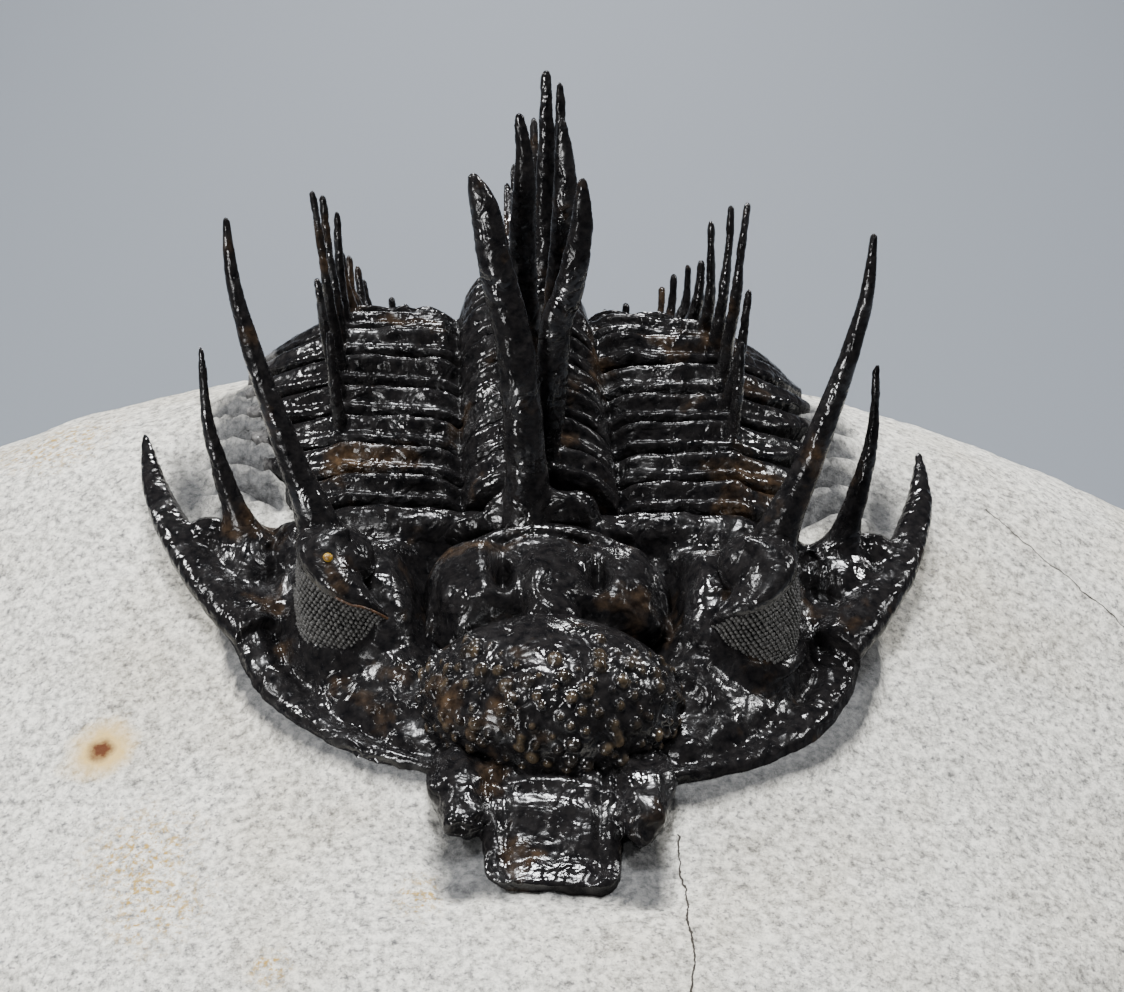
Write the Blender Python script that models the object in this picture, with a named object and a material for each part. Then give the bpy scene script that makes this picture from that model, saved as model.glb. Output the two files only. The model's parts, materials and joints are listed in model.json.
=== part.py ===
"""A spiny comura trilobite standing on the rounded block of limestone that it was found in.

The armour is made as the animal grew it: a head shield, eleven thorax plates and a tail shield, each a hard
piece of its own with its spines fused to it, all resting on one loose stone with a flat base.

Lengths below are millimetres. The fossil's own frame has x across from its midline, y back towards the tail,
with y = 0 where the head meets the thorax, and z up. The model's origin is the middle of the stone's base.
"""

import math

import bmesh
import bpy
from mathutils import Vector

MM = 0.001

# Where the fossil's frame stands over the middle of the stone's base
FOSSIL_Y = -2.0
FOSSIL_Z = 34.0

# The stone
STONE_WIDTH = 108.0
STONE_DEPTH = 96.0
STONE_CROWN = (
    (-48.0, -8.5), (-34.0, -2.6), (-19.0, -0.1), (-4.0, 2.9), (8.0, 5.5), (14.0, 5.8),
    (22.0, 2.6), (30.0, -4.0), (36.0, -9.2), (52.0, -19.0),
)
STONE_SIDE_FALL = 0.0067
STONE_LEAN = 0.05
STONE_HOLLOW = (0.9, -24.5, 10.0, 5.0, 1.0)
STONE_RINGS = (0.11, 0.22, 0.33, 0.43, 0.53, 0.62, 0.71, 0.8, 0.88, 0.95, 1.0)
STONE_SPOKES = 40
STONE_OUTLINE_POWER = 2.6
STONE_EDGE_ROLL = 5.0
STONE_WALL = ((0.3, 1.012), (0.65, 1.0), (0.93, 0.965), (1.0, 0.94))
BED_GAP = 0.4

# The fossil as a whole: it sways to one side along its length, and leans a little
SWAY = (-0.15, -0.05, -0.001)
LEAN = 0.03

# The thorax and tail follow a line that climbs, bends over the stone's crown and runs down behind it
PATH_START_Z = 5.7
CLIMB = math.radians(12)
CLIMB_LENGTH = 13.5
BEND_LENGTH = 7.5
DESCENT = math.radians(-42)

# The head shield
HEAD_HALF_WIDTH = 19.4
HEAD_WIDEST_Y = -3.0
HEAD_FRONT = 16.0
HEAD_OUTLINE_POWER = 2.25
HEAD_CORNER_SWEEP = 1.6
HEAD_NECK_NOTCH = 0.62
HEAD_NOTCH_HALF_WIDTH = 12.0
HEAD_CORNER_REACH = (13.0, 19.0)
HEAD_RIM = 1.0
# Where across the half width the groove inside the rim lies, how wide it is there, and how deep.
RIM_GROOVE = (0.86, 0.05, 0.45)
# Where across the half width the cheeks start to slope, and where they reach the rim.
CHEEK_SLOPE = (0.5, 0.93)
HEAD_PLATFORM = (
    (-19.0, 0.9), (-17.0, 1.2), (-14.0, 2.4), (-11.0, 5.0), (-8.0, 6.8), (-5.0, 7.1), (-1.5, 6.1), (0.3, 6.3),
    (3.0, 5.4),
)
HEAD_ROWS = (0.95, -1.0, -3.0, -5.0, -7.0, -9.0, -11.0, -13.0, -15.0, -16.8, -18.2, -18.85)
HEAD_COLUMNS = (0.0, 0.22, 0.4, 0.52, 0.64, 0.74, 0.83, 0.91, 1.0)

# The thorax
SEGMENTS = 11
SEGMENT_PITCH = 2.48
SEGMENT_GAP = 0.3
THORAX_START = 1.3
AXIS_HEIGHT = 3.0
AXIS_HALF_WIDTH = ((0.0, 4.8), (10.0, 4.5), (20.0, 3.9), (28.0, 3.1), (40.5, 0.9))
FULCRUM = ((0.0, 12.0), (8.0, 12.1), (16.0, 11.6), (24.0, 9.9), (28.0, 8.9))
PLEURA_TIP = ((0.0, 13.8), (4.0, 16.6), (9.0, 17.8), (16.0, 17.4), (24.0, 14.6), (28.0, 12.8))
TIP_SWEEP = 2.6
TIP_THICKNESS = 0.8
BAND = ((0.0, -0.25), (0.18, 0.22), (0.42, -0.12), (0.74, 0.45), (1.0, -0.25))

# The tail shield
TAIL_START = THORAX_START + SEGMENTS * SEGMENT_PITCH
TAIL_END = 39.0
TAIL_HALF_WIDTH = ((28.5, 9.1), (30.5, 8.8), (33.0, 7.5), (35.5, 5.6), (37.7, 3.3), (39.0, 1.6))
TAIL_ROWS = 11
TAIL_RIB = (-0.12, 0.28)

SHELL = ("black_calcite", (0.018, 0.016, 0.015), 0.28)
LIMESTONE = ("pale_limestone", (0.62, 0.60, 0.55), 0.92)

# Spines that stand on the midline, as (x, y, z, half width) from low down to the tip. Those of the thorax start
# at the crest of their own plate's ring, with the half width given first.
HEAD_MEDIAN_SPINE = (
    (-1.0, -1.6, 5.6, 1.4), (-1.1, -0.8, 12.0, 1.22), (-1.7, 1.0, 18.7, 1.16), (-2.6, 2.2, 22.6, 1.07),
    (-3.3, 3.3, 26.4, 0.85), (-3.97, 3.9, 28.2, 0.1),
)
MEDIAN_SPINES = (
    (1.05, (0.5, 1.7, 13.0, 1.0), (0.95, 2.4, 18.4, 0.97), (1.7, 2.8, 20.6, 0.88), (2.5, 3.5, 24.6, 0.73),
     (2.63, 4.1, 28.0, 0.1)),
    (1.05, (-0.5, 4.1, 14.0, 1.0), (-0.86, 4.9, 19.0, 0.91), (-0.84, 5.7, 23.0, 0.82), (-0.65, 6.6, 26.9, 0.62),
     (-0.94, 7.5, 30.2, 0.1)),
    (1.0, (0.9, 6.6, 14.0, 0.95), (1.5, 7.4, 18.0, 0.9), (1.85, 8.3, 22.5, 0.8), (1.9, 9.2, 25.3, 0.67),
     (1.78, 10.0, 28.4, 0.1)),
    (0.95, (0.4, 9.2, 14.5, 0.85), (0.75, 10.1, 18.5, 0.75), (0.82, 11.0, 21.8, 0.61), (1.0, 12.0, 25.8, 0.52),
     (1.04, 13.0, 29.9, 0.1)),
    (0.9, (0.7, 11.6, 13.5, 0.75), (1.57, 13.2, 17.5, 0.61), (2.1, 15.6, 23.0, 0.42), (2.2, 17.0, 26.6, 0.08)),
    (0.85, (0.3, 14.8, 14.0, 0.66), (0.6, 17.2, 18.6, 0.42), (0.84, 20.0, 22.2, 0.08)),
    (0.75, (-0.3, 18.8, 13.6, 0.5), (-0.23, 22.5, 17.2, 0.08)),
    (0.7, (-0.4, 22.6, 11.6, 0.45), (-0.36, 26.0, 13.5, 0.08)),
    (0.65, (0.1, 25.6, 9.0, 0.4), (0.2, 28.4, 10.0, 0.08)),
    (0.6, (0.0, 27.4, 7.0, 0.36), (0.0, 30.0, 7.4, 0.08)),
    (0.55, (0.0, 29.2, 5.2, 0.32), (0.0, 31.8, 5.3, 0.08)),
)
# Spines at the bend of each thorax plate, the same on both sides, from half way up to the tip. Each starts at
# the bend of its own plate, with the half width given first. The first two plates have none.
SIDE_SPINES = {
    3: (0.42, (12.4, 7.1, 10.6, 0.34), (12.6, 7.6, 14.2, 0.08)),
    4: (0.42, (12.7, 9.3, 12.0, 0.34), (13.2, 9.7, 16.6, 0.08)),
    5: (0.45, (12.5, 11.4, 14.0, 0.38), (12.9, 11.8, 18.0, 0.28), (13.3, 12.3, 21.3, 0.07)),
    6: (0.45, (12.0, 13.9, 12.5, 0.38), (12.4, 14.4, 16.2, 0.28), (12.6, 15.1, 19.2, 0.07)),
    7: (0.42, (11.6, 16.6, 12.0, 0.34), (11.65, 17.5, 16.5, 0.07)),
    8: (0.4, (11.2, 19.3, 9.8, 0.32), (11.4, 20.0, 11.9, 0.07)),
    9: (0.38, (10.7, 21.5, 8.0, 0.28), (10.8, 22.2, 10.1, 0.07)),
    10: (0.34, (10.0, 23.6, 6.0, 0.26), (10.2, 24.4, 7.9, 0.07)),
    11: (0.32, (9.5, 25.4, 4.2, 0.22), (9.7, 26.3, 5.6, 0.07)),
}
# Spines of the head shield that come in pairs
EYE_SPINE = (
    (13.4, -6.2, 6.4, 1.35), (14.3, -5.4, 10.2, 1.1), (15.1, -4.7, 12.4, 0.92), (16.4, -3.5, 16.3, 0.74),
    (17.7, -2.3, 20.2, 0.58), (18.6, -1.3, 23.8, 0.44), (18.95, 0.0, 27.2, 0.1),
)
EYE_SPINE_DRIFT = 0.5
CHEEK_SPINE = (
    (18.2, 0.5, 3.2, 1.25), (18.75, 1.0, 5.3, 0.95), (19.5, 1.7, 7.6, 0.74), (20.2, 2.6, 10.8, 0.5), (20.4, 3.8, 15.4, 0.08),
)
GENAL_SPINE = (
    (17.4, -6.6, 1.6, 1.7), (19.6, -3.0, 1.9, 1.7), (21.9, 1.0, 2.7, 1.4), (23.5, 6.0, 3.2, 1.0), (24.3, 11.2, 3.5, 0.12),
)
EYE_CENTRE = (12.7, -7.2)
EYE_SPOKES = 14
EYE_ROOF = 0.3
EYE_PROFILE = ((1.0, 4.3), (2.3, 3.95), (2.9, 3.45), (4.6, 3.5), (6.6, 3.15), (7.2, 3.35), (8.0, 2.5))

# Swellings of the head shield: middle, then half sizes along x, y and z
FRONTAL_LOBE = ((0.0, -13.6, 2.4), (7.6, 5.2, 4.6))
REAR_LOBE = ((0.0, -6.4, 3.6), (7.5, 4.6, 4.4))
NECK_RING = ((0.0, -1.5, 4.6), (5.2, 1.6, 3.5))
GENAL_CORNER = ((18.3, -0.2, 1.9), (2.3, 2.6, 2.3))
SIDE_LOBE = ((5.3, -19.4, 0.5), (2.0, 3.7, 1.7))
FRONT_TONGUE = ((-15.5, 4.4, 1.8), (-19.0, 4.2, 1.9), (-22.0, 4.1, 1.6), (-24.6, 3.9, 1.1), (-25.5, 2.9, 0.6))
WART_SIZE = 0.5
WART_TILTS = (-20, 2, 24, 46)
WART_SPACING = 19
WARTS_IN_FIRST_ROW = 8

# Spines round the tail's edge, by place along the body, and how far each runs out and back
TAIL_EDGE_SPINES = ((30.3, 4.2, 5.0), (32.0, 3.8, 5.5), (33.7, 3.0, 5.9), (35.3, 2.4, 6.1), (36.8, 1.8, 6.2))
TAIL_END_SPINE = 7.0
TAIL_UPRIGHT_SPINES = ((30.2, 7.5), (32.8, 6.4))
TAIL_MEDIAN_SPINES = (30.2, 32.7, 35.2)


def smooth_step(low, high, value):
    t = min(max((value - low) / (high - low), 0.0), 1.0)
    return t * t * (3 - 2 * t)


def through(points, at):
    """The height at one place of a smooth curve that passes through a few (place, height) points."""
    last = len(points) - 1
    i = 0
    while i < last - 1 and at > points[i + 1][0]:
        i += 1

    def slope(k):
        a, b = points[max(k - 1, 0)], points[min(k + 1, last)]
        return (b[1] - a[1]) / (b[0] - a[0])

    (x0, y0), (x1, y1) = points[i], points[i + 1]
    span = x1 - x0
    t = min(max((at - x0) / span, 0.0), 1.0)
    start = y0 * (1 + 2 * t) * (1 - t) ** 2 + slope(i) * span * t * (1 - t) ** 2
    end = y1 * t * t * (3 - 2 * t) + slope(i + 1) * span * t * t * (t - 1)
    return start + end


def stone_top(x, y):
    """Height of the stone's crown in the fossil's frame, with x measured from the stone's middle. A shallow
    hollow was carved round the front tongue."""
    hollow_x, hollow_y, across, along, deep = STONE_HOLLOW
    hollow = deep * math.exp(-(((x - hollow_x) / across) ** 2) - ((y - hollow_y) / along) ** 2)
    return through(STONE_CROWN, y) - STONE_SIDE_FALL * x * x - STONE_LEAN * x - hollow


def midline(y):
    return SWAY[0] + SWAY[1] * y + SWAY[2] * y * y


def floor_under(x, y):
    """Height of a plate's underside, which follows the stone at a small gap, as the fossil's own z."""
    return stone_top(x + midline(y), y) + BED_GAP + LEAN * x


def placed(x, y, z):
    """A point of the fossil, given from its midline, as a point of the model in metres."""
    return Vector((x + midline(y), y + FOSSIL_Y, z - LEAN * x + FOSSIL_Z)) * MM


def settled(x, y, z, lift=0.25):
    """The same for a point of something that swells out of a plate, kept clear of the stone under the plate."""
    return placed(x, y, max(z, floor_under(x, y) + lift))


def body_path(s):
    """(y, z, pitch) at a distance s along the thorax and tail, at the level of the flat side lobes."""
    if s <= CLIMB_LENGTH:
        return s * math.cos(CLIMB), PATH_START_Z + s * math.sin(CLIMB), CLIMB
    radius = BEND_LENGTH / (CLIMB - DESCENT)
    along = min(s - CLIMB_LENGTH, BEND_LENGTH)
    pitch = CLIMB - along / radius
    y = CLIMB_LENGTH * math.cos(CLIMB) + radius * (math.sin(CLIMB) - math.sin(pitch))
    z = PATH_START_Z + CLIMB_LENGTH * math.sin(CLIMB) + radius * (math.cos(pitch) - math.cos(CLIMB))
    rest = max(s - CLIMB_LENGTH - BEND_LENGTH, 0.0)
    return y + rest * math.cos(pitch), z + rest * math.sin(pitch), pitch


def over_body(s, x, height):
    """A point at a height over the body's line. Where the body slopes, each cross row bows in plan, so that its
    crest stands upright over the sides of the same row."""
    pitch = body_path(s)[2]
    bow = AXIS_HEIGHT * max(1 - (x / through(FULCRUM, s)) ** 2, 0.0)
    y, z, here = body_path(s - (bow - height) * math.tan(pitch))
    return x, y - height * math.sin(here), z + height * math.cos(here)


def material(finish):
    name, colour, roughness = finish
    made = bpy.data.materials.get(name)
    if made is None:
        made = bpy.data.materials.new(name)
        made.use_nodes = True
        surface = made.node_tree.nodes["Principled BSDF"]
        surface.inputs["Base Color"].default_value = (*colour, 1.0)
        surface.inputs["Roughness"].default_value = roughness
        surface.inputs["Metallic"].default_value = 0.0
    return made


def solid(name, points, faces):
    """A mesh object from points in metres and faces, its normals turned outwards."""
    mesh = bpy.data.meshes.new(name)
    shape = bmesh.new()
    corners = [shape.verts.new(p) for p in points]
    for face in faces:
        shape.faces.new([corners[i] for i in face])
    bmesh.ops.recalc_face_normals(shape, faces=shape.faces)
    shape.to_mesh(mesh)
    shape.free()
    made = bpy.data.objects.new(name, mesh)
    bpy.context.scene.collection.objects.link(made)
    return made


def finished(obj, finish):
    obj.data.materials.clear()
    obj.data.materials.append(material(finish))
    obj.data.shade_smooth()
    obj.data.set_sharp_from_angle(angle=math.radians(38))
    return obj


def fuse(body, pieces):
    """Joins pieces to a body one after another, so that they are one solid. The solver is MANIFOLD because EXACT
    returns nothing where the thin edges of two pieces cross, as under the front tongue."""
    for piece in pieces:
        union = body.modifiers.new("grown together", "BOOLEAN")
        union.operation = "UNION"
        union.solver = "MANIFOLD"
        union.object = piece
        bpy.context.view_layer.update()
        joined = bpy.data.meshes.new_from_object(body.evaluated_get(bpy.context.evaluated_depsgraph_get()))
        body.modifiers.clear()
        body.data = joined
        bpy.data.objects.remove(piece)
    return body


def plate(name, rows, under_rows, lift=0.0):
    """A closed plate from a grid of top points, given from the midline. Its underside follows the stone, lift
    above the others, and has only the rows that under_rows names, the first and last among them."""
    across = len(rows[0])
    points = [placed(*p) for row in rows for p in row]
    under = {}
    for r in under_rows:
        under[r] = len(points)
        points += [placed(x, y, floor_under(x, y) + lift) for x, y, _ in rows[r]]
    faces = []
    for r in range(len(rows) - 1):
        for c in range(across - 1):
            a = r * across + c
            faces.append((a, a + 1, a + across + 1, a + across))
    for near, far in zip(under_rows, under_rows[1:]):
        for c in range(across - 1):
            faces.append((under[near] + c, under[far] + c, under[far] + c + 1, under[near] + c + 1))
        for c in (0, across - 1):
            for r in range(near, far):
                faces.append((r * across + c, (r + 1) * across + c, under[near] + c))
            faces.append((far * across + c, under[far] + c, under[near] + c))
    for r in (under_rows[0], under_rows[-1]):
        for c in range(across - 1):
            faces.append((r * across + c, r * across + c + 1, under[r] + c + 1, under[r] + c))
    return solid(name, points, faces)


def horn(stations, side=1, sides=7, depth=0.75, thin=(0.0, 1.0, 0.0), drift=0.0):
    """A tapering, curved spine through (x, y, z, half width) stations. Its section is an oval, narrower by depth
    along thin, and it closes in a point. side is -1 for the left one of a pair, and drift is how far the tips of
    both lean to the right."""
    last = len(stations) - 1
    centres = [Vector((side * x + drift * i / last, y, z)) for i, (x, y, z, _) in enumerate(stations)]
    points, faces = [], []
    for i, (centre, station) in enumerate(zip(centres[:-1], stations)):
        along = (centres[i + 1] - centres[max(i - 1, 0)]).normalized()
        wide = along.cross(Vector(thin)).normalized()
        narrow = wide.cross(along)
        for k in range(sides):
            turn = 2 * math.pi * k / sides
            off = wide * math.cos(turn) + narrow * depth * math.sin(turn)
            points.append(settled(*(centre + off * station[3])))
    tip = len(points)
    points.append(settled(*centres[-1]))
    faces.append(tuple(range(sides)))
    for i in range(len(stations) - 2):
        for k in range(sides):
            a, b = i * sides + k, i * sides + (k + 1) % sides
            faces.append((a, b, b + sides, a + sides))
    for k in range(sides):
        faces.append((tip - sides + k, tip - sides + (k + 1) % sides, tip))
    return solid("horn", points, faces)


def rooted(s, x, height, stations):
    """A horn's stations with two more in front, so that it grows out of the plate at a distance s along the body.
    The first of stations is the half width there."""
    half_width = stations[0]
    roots = [(*over_body(s, x, height + above), half_width) for above in (-0.7, 0.4)]
    return (*roots, *stations[1:])


def mound(centre, radii, spokes=12, rings=8):
    """An egg-shaped swelling of the shell, given from the midline."""
    bpy.ops.mesh.primitive_uv_sphere_add(segments=spokes, ring_count=rings, radius=1.0)
    made = bpy.context.object
    for vertex in made.data.vertices:
        x, y, z = (middle + half * unit for middle, half, unit in zip(centre, radii, vertex.co))
        vertex.co = settled(x, y, z, 0.55 if vertex.co.z > 0.01 else 0.25)
    return made


def wart(centre):
    """One small wart of the shell."""
    bpy.ops.mesh.primitive_ico_sphere_add(subdivisions=1, radius=WART_SIZE)
    made = bpy.context.object
    for vertex in made.data.vertices:
        vertex.co = settled(*(Vector(centre) + vertex.co))
    return made


def stone():
    """The loose block: a domed top that carries the fossil, rounded edges and a sawn base."""
    outline = []
    for k in range(STONE_SPOKES):
        turn = 2 * math.pi * k / STONE_SPOKES
        c, s = math.cos(turn), math.sin(turn)
        radius = (abs(c) ** STONE_OUTLINE_POWER + abs(s) ** STONE_OUTLINE_POWER) ** (-1 / STONE_OUTLINE_POWER)
        radius *= 1 + 0.022 * math.sin(3 * turn + 0.6) + 0.014 * math.sin(5 * turn + 2.1)
        outline.append((radius * c, radius * s))
    bulge = max(spread for _, spread in STONE_WALL)
    wide, deep = [(min(p[i] for p in outline), max(p[i] for p in outline)) for i in (0, 1)]

    def fitted(value, limits, size):
        return ((value - limits[0]) / (limits[1] - limits[0]) - 0.5) * size / bulge

    outline = [(fitted(x, wide, STONE_WIDTH), fitted(y, deep, STONE_DEPTH)) for x, y in outline]
    points = [Vector((0.0, 0.0, stone_top(0.0, -FOSSIL_Y) + FOSSIL_Z)) * MM]
    for ring in STONE_RINGS:
        for x, y in outline:
            drop = STONE_EDGE_ROLL * smooth_step(0.78, 1.06, ring)
            z = stone_top(x * ring, y * ring - FOSSIL_Y) + FOSSIL_Z - drop
            points.append(Vector((x * ring, y * ring, z)) * MM)
    rims = [p.z for p in points[-STONE_SPOKES:]]
    for fall, spread in STONE_WALL:
        for (x, y), rim in zip(outline, rims):
            points.append(Vector((x * spread * MM, y * spread * MM, rim * (1 - fall))))
    faces = [(0, 1 + k, 1 + (k + 1) % STONE_SPOKES) for k in range(STONE_SPOKES)]
    levels = len(STONE_RINGS) + len(STONE_WALL)
    for i in range(levels - 1):
        for k in range(STONE_SPOKES):
            a = 1 + i * STONE_SPOKES + k
            b = 1 + i * STONE_SPOKES + (k + 1) % STONE_SPOKES
            faces.append((a, b, b + STONE_SPOKES, a + STONE_SPOKES))
    faces.append(tuple(1 + (levels - 1) * STONE_SPOKES + k for k in range(STONE_SPOKES)))
    return finished(solid("limestone_matrix", points, faces), LIMESTONE)


def head_half_width(y):
    if y >= HEAD_WIDEST_Y:
        return HEAD_HALF_WIDTH
    forward = (HEAD_WIDEST_Y - y) / HEAD_FRONT
    return HEAD_HALF_WIDTH * (1 - forward ** HEAD_OUTLINE_POWER) ** (1 / HEAD_OUTLINE_POWER)


def head_top(c, x, y):
    """Height of the cheeks and the broad part of the head, where c runs from 0 at the midline to 1 at the rim."""
    rim = floor_under(x, y) + HEAD_RIM
    inner = through(HEAD_PLATFORM, y)
    at, width, deep = RIM_GROOVE
    groove = deep * math.exp(-(((c - at) / width) ** 2))
    return rim + max(inner - rim, 0.0) * (1 - smooth_step(*CHEEK_SLOPE, c)) - groove


def head_plate():
    columns = [-c for c in reversed(HEAD_COLUMNS[1:])] + list(HEAD_COLUMNS)
    rows = []
    for i, nominal in enumerate(HEAD_ROWS):
        row = []
        for c in columns:
            x = c * head_half_width(nominal)
            sweep = HEAD_CORNER_SWEEP * smooth_step(*HEAD_CORNER_REACH, abs(x))
            notch = HEAD_NECK_NOTCH * max(1 - (x / HEAD_NOTCH_HALF_WIDTH) ** 2, 0.0)
            y = nominal + (sweep - notch) * max(1 - i / 3, 0.0)
            row.append((x, y, head_top(abs(c), x, y)))
        rows.append(row)
    return plate("head_shield", rows, [0, 2, 4, 6, 8, len(rows) - 1])


def eye(side):
    """One turret: a drum with a waist below its lens field, a rim above it and a low roof."""
    points, faces = [], []
    for z, radius in EYE_PROFILE:
        for k in range(EYE_SPOKES):
            turn = 2 * math.pi * k / EYE_SPOKES
            x = EYE_CENTRE[0] + radius * math.cos(turn)
            points.append(settled(side * x, EYE_CENTRE[1] + radius * math.sin(turn), z))
    top = len(points)
    points.append(placed(side * EYE_CENTRE[0], EYE_CENTRE[1], EYE_PROFILE[-1][0] + EYE_ROOF))
    faces.append(tuple(range(EYE_SPOKES)))
    for i in range(len(EYE_PROFILE) - 1):
        for k in range(EYE_SPOKES):
            a, b = i * EYE_SPOKES + k, i * EYE_SPOKES + (k + 1) % EYE_SPOKES
            faces.append((a, b, b + EYE_SPOKES, a + EYE_SPOKES))
    for k in range(EYE_SPOKES):
        faces.append((top - EYE_SPOKES + k, top - EYE_SPOKES + (k + 1) % EYE_SPOKES, top))
    return solid("eye", points, faces)


def front_tongue():
    """The blunt plate that runs forward from under the head, three times as wide as it is thick."""
    rows = []
    for y, half, rise in FRONT_TONGUE:
        row = []
        for c in (-1.0, -0.82, 0.0, 0.82, 1.0):
            x = c * half
            edge = 0.55 if abs(c) == 1.0 else 0.0
            row.append((x, y, floor_under(x, y) + rise * (1 - edge)))
        rows.append(row)
    return plate("tongue", rows, [0, 2, 4], lift=0.15)


def frontal_warts():
    """Warts in staggered rows over the front of the swollen frontal lobe."""
    centre, radii = FRONTAL_LOBE
    made = []
    for row, tilt in enumerate(WART_TILTS):
        count = WARTS_IN_FIRST_ROW - row
        for k in range(count):
            spin = math.radians(-90 + (k - (count - 1) / 2) * WART_SPACING)
            lift = math.radians(tilt)
            out = Vector((math.cos(spin) * math.cos(lift), math.sin(spin) * math.cos(lift), math.sin(lift)))
            made.append(wart([centre[i] + radii[i] * out[i] for i in range(3)]))
    return made


def head():
    grown = [
        mound(*FRONTAL_LOBE, spokes=16, rings=12),
        mound(*REAR_LOBE, spokes=14, rings=8),
        mound(*NECK_RING, spokes=12, rings=8),
        front_tongue(),
        horn(HEAD_MEDIAN_SPINE, sides=8),
    ]
    for side in (-1, 1):
        grown.append(eye(side))
        grown.append(mound((side * GENAL_CORNER[0][0], *GENAL_CORNER[0][1:]), GENAL_CORNER[1], 10, 6))
        grown.append(mound((side * SIDE_LOBE[0][0], *SIDE_LOBE[0][1:]), SIDE_LOBE[1], 10, 6))
        grown.append(horn(EYE_SPINE, side, sides=7, depth=0.9, drift=EYE_SPINE_DRIFT))
        grown.append(horn(CHEEK_SPINE, side, sides=6, depth=0.9))
        grown.append(horn(GENAL_SPINE, side, sides=7, depth=0.7, thin=(0.0, 0.0, 1.0)))
    grown += frontal_warts()
    return finished(fuse(head_plate(), grown), SHELL)


def thorax_row(s, middle, band):
    """One row of top points across a thorax plate, at distance s along the body. band is the height of the ridge
    there."""
    axis, bend, tip = (through(table, middle) for table in (AXIS_HALF_WIDTH, FULCRUM, PLEURA_TIP))
    half = []
    for share in (0.0, 0.5, 0.9):
        half.append(over_body(s, share * axis, AXIS_HEIGHT * math.sqrt(1 - share * share) + band))
    half.append(over_body(s, axis, 0.4 * band - 0.35))
    half.append(over_body(s, (axis + bend) / 2, 0.3 + band))
    half.append(over_body(s, bend, 0.1 + band))
    for w in (0.4, 0.75, 1.0):
        drawn_in = middle + (s - middle) * (1 - 0.75 * w * w)
        y_in, z_in, _ = body_path(drawn_in)
        x = bend + (tip - bend) * w
        y_out = y_in + TIP_SWEEP * w * w
        low = floor_under(x, y_out) + TIP_THICKNESS
        share = w ** 1.15
        half.append((x, y_out, (z_in + 0.1 + band * (1 - w)) * (1 - share) + low * share))
    return [(-x, y, z) for x, y, z in reversed(half[1:])] + half


def thorax_segment(number):
    start = THORAX_START + (number - 1) * SEGMENT_PITCH
    length = SEGMENT_PITCH - SEGMENT_GAP
    middle = start + length / 2
    rows = [thorax_row(start + u * length, middle, band) for u, band in BAND]
    body = plate(f"thorax_segment_{number:02d}", rows, [0, len(rows) - 1])
    spines = [horn(rooted(middle, 0.0, AXIS_HEIGHT, MEDIAN_SPINES[number - 1]), sides=7, depth=0.65)]
    if number in SIDE_SPINES:
        stations = rooted(middle, through(FULCRUM, middle), 0.1, SIDE_SPINES[number])
        spines += [horn(stations, side, sides=5, depth=1.0) for side in (-1, 1)]
    return finished(fuse(body, spines), SHELL)


def tail_crest(s):
    """Height of the tail's axis over the body's line."""
    return AXIS_HEIGHT * (1 - 0.65 * (s - TAIL_START) / (TAIL_END - TAIL_START))


def tail():
    """The tail shield: ribbed, with a ringed axis, flat spines round its edge and small upright ones."""
    rows = []
    for i in range(TAIL_ROWS):
        s = TAIL_START + (TAIL_END - TAIL_START) * i / (TAIL_ROWS - 1)
        rib = TAIL_RIB[i % 2]
        axis, edge = through(AXIS_HALF_WIDTH, s), through(TAIL_HALF_WIDTH, s)
        high = tail_crest(s)
        half = []
        for x, height in ((0.0, high), (0.5 * axis, 0.87 * high), (0.9 * axis, 0.42 * high), (axis, -0.2)):
            half.append(over_body(s, x, height + rib))
        for w, drop in ((0.35, 0.0), (0.7, 0.35), (1.0, 1.0)):
            x, y, z = over_body(s, axis + (edge - axis) * w, 0.15 + rib)
            half.append((x, y, z * (1 - drop) + (floor_under(x, y) + TIP_THICKNESS) * drop))
        rows.append([(-x, y_, z_) for x, y_, z_ in reversed(half[1:])] + half)
    body = plate("tail_shield", rows, list(range(0, TAIL_ROWS, 2)))

    spines = []
    for s, out, back in TAIL_EDGE_SPINES:
        edge, y, _ = over_body(s, through(TAIL_HALF_WIDTH, s), 0.0)
        stations = []
        for share, half_width in ((-0.3, 0.75), (0.3, 0.7), (0.7, 0.45), (1.0, 0.08)):
            x, y_at = edge + out * share, y + back * max(share, 0.0)
            stations.append((x, y_at, floor_under(x, y_at) + 0.75 + 0.35 * share, half_width))
        spines += [horn(stations, side, sides=6, depth=0.6, thin=(0.0, 0.0, 1.0)) for side in (-1, 1)]
    y = over_body(TAIL_END, 0.0, 0.0)[1]
    stations = []
    for share, half_width in ((-0.25, 0.85), (0.35, 0.7), (0.75, 0.45), (1.0, 0.08)):
        y_at = y + TAIL_END_SPINE * share
        stations.append((0.0, y_at, floor_under(0.0, y_at) + 0.8 + 0.4 * share, half_width))
    spines.append(horn(stations, sides=6, depth=0.6, thin=(0.0, 0.0, 1.0)))
    for s, x in TAIL_UPRIGHT_SPINES:
        _, y, z = over_body(s, x, 0.0)
        stations = ((x, y, z - 0.7, 0.34), (x + 0.1, y + 0.9, z + 1.0, 0.24), (x + 0.2, y + 1.6, z + 2.4, 0.06))
        spines += [horn(stations, side, sides=5, depth=1.0) for side in (-1, 1)]
    for s in TAIL_MEDIAN_SPINES:
        _, y, z = over_body(s, 0.0, tail_crest(s) - 0.7)
        stations = ((0.0, y, z, 0.5), (0.0, y + 2.0, z + 1.3, 0.3), (0.0, y + 3.6, z + 1.5, 0.07))
        spines.append(horn(stations, sides=6))
    return finished(fuse(body, spines), SHELL)


def main():
    for old in list(bpy.data.objects):
        bpy.data.objects.remove(old)
    stone()
    head()
    for number in range(1, SEGMENTS + 1):
        thorax_segment(number)
    tail()


main()
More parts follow.
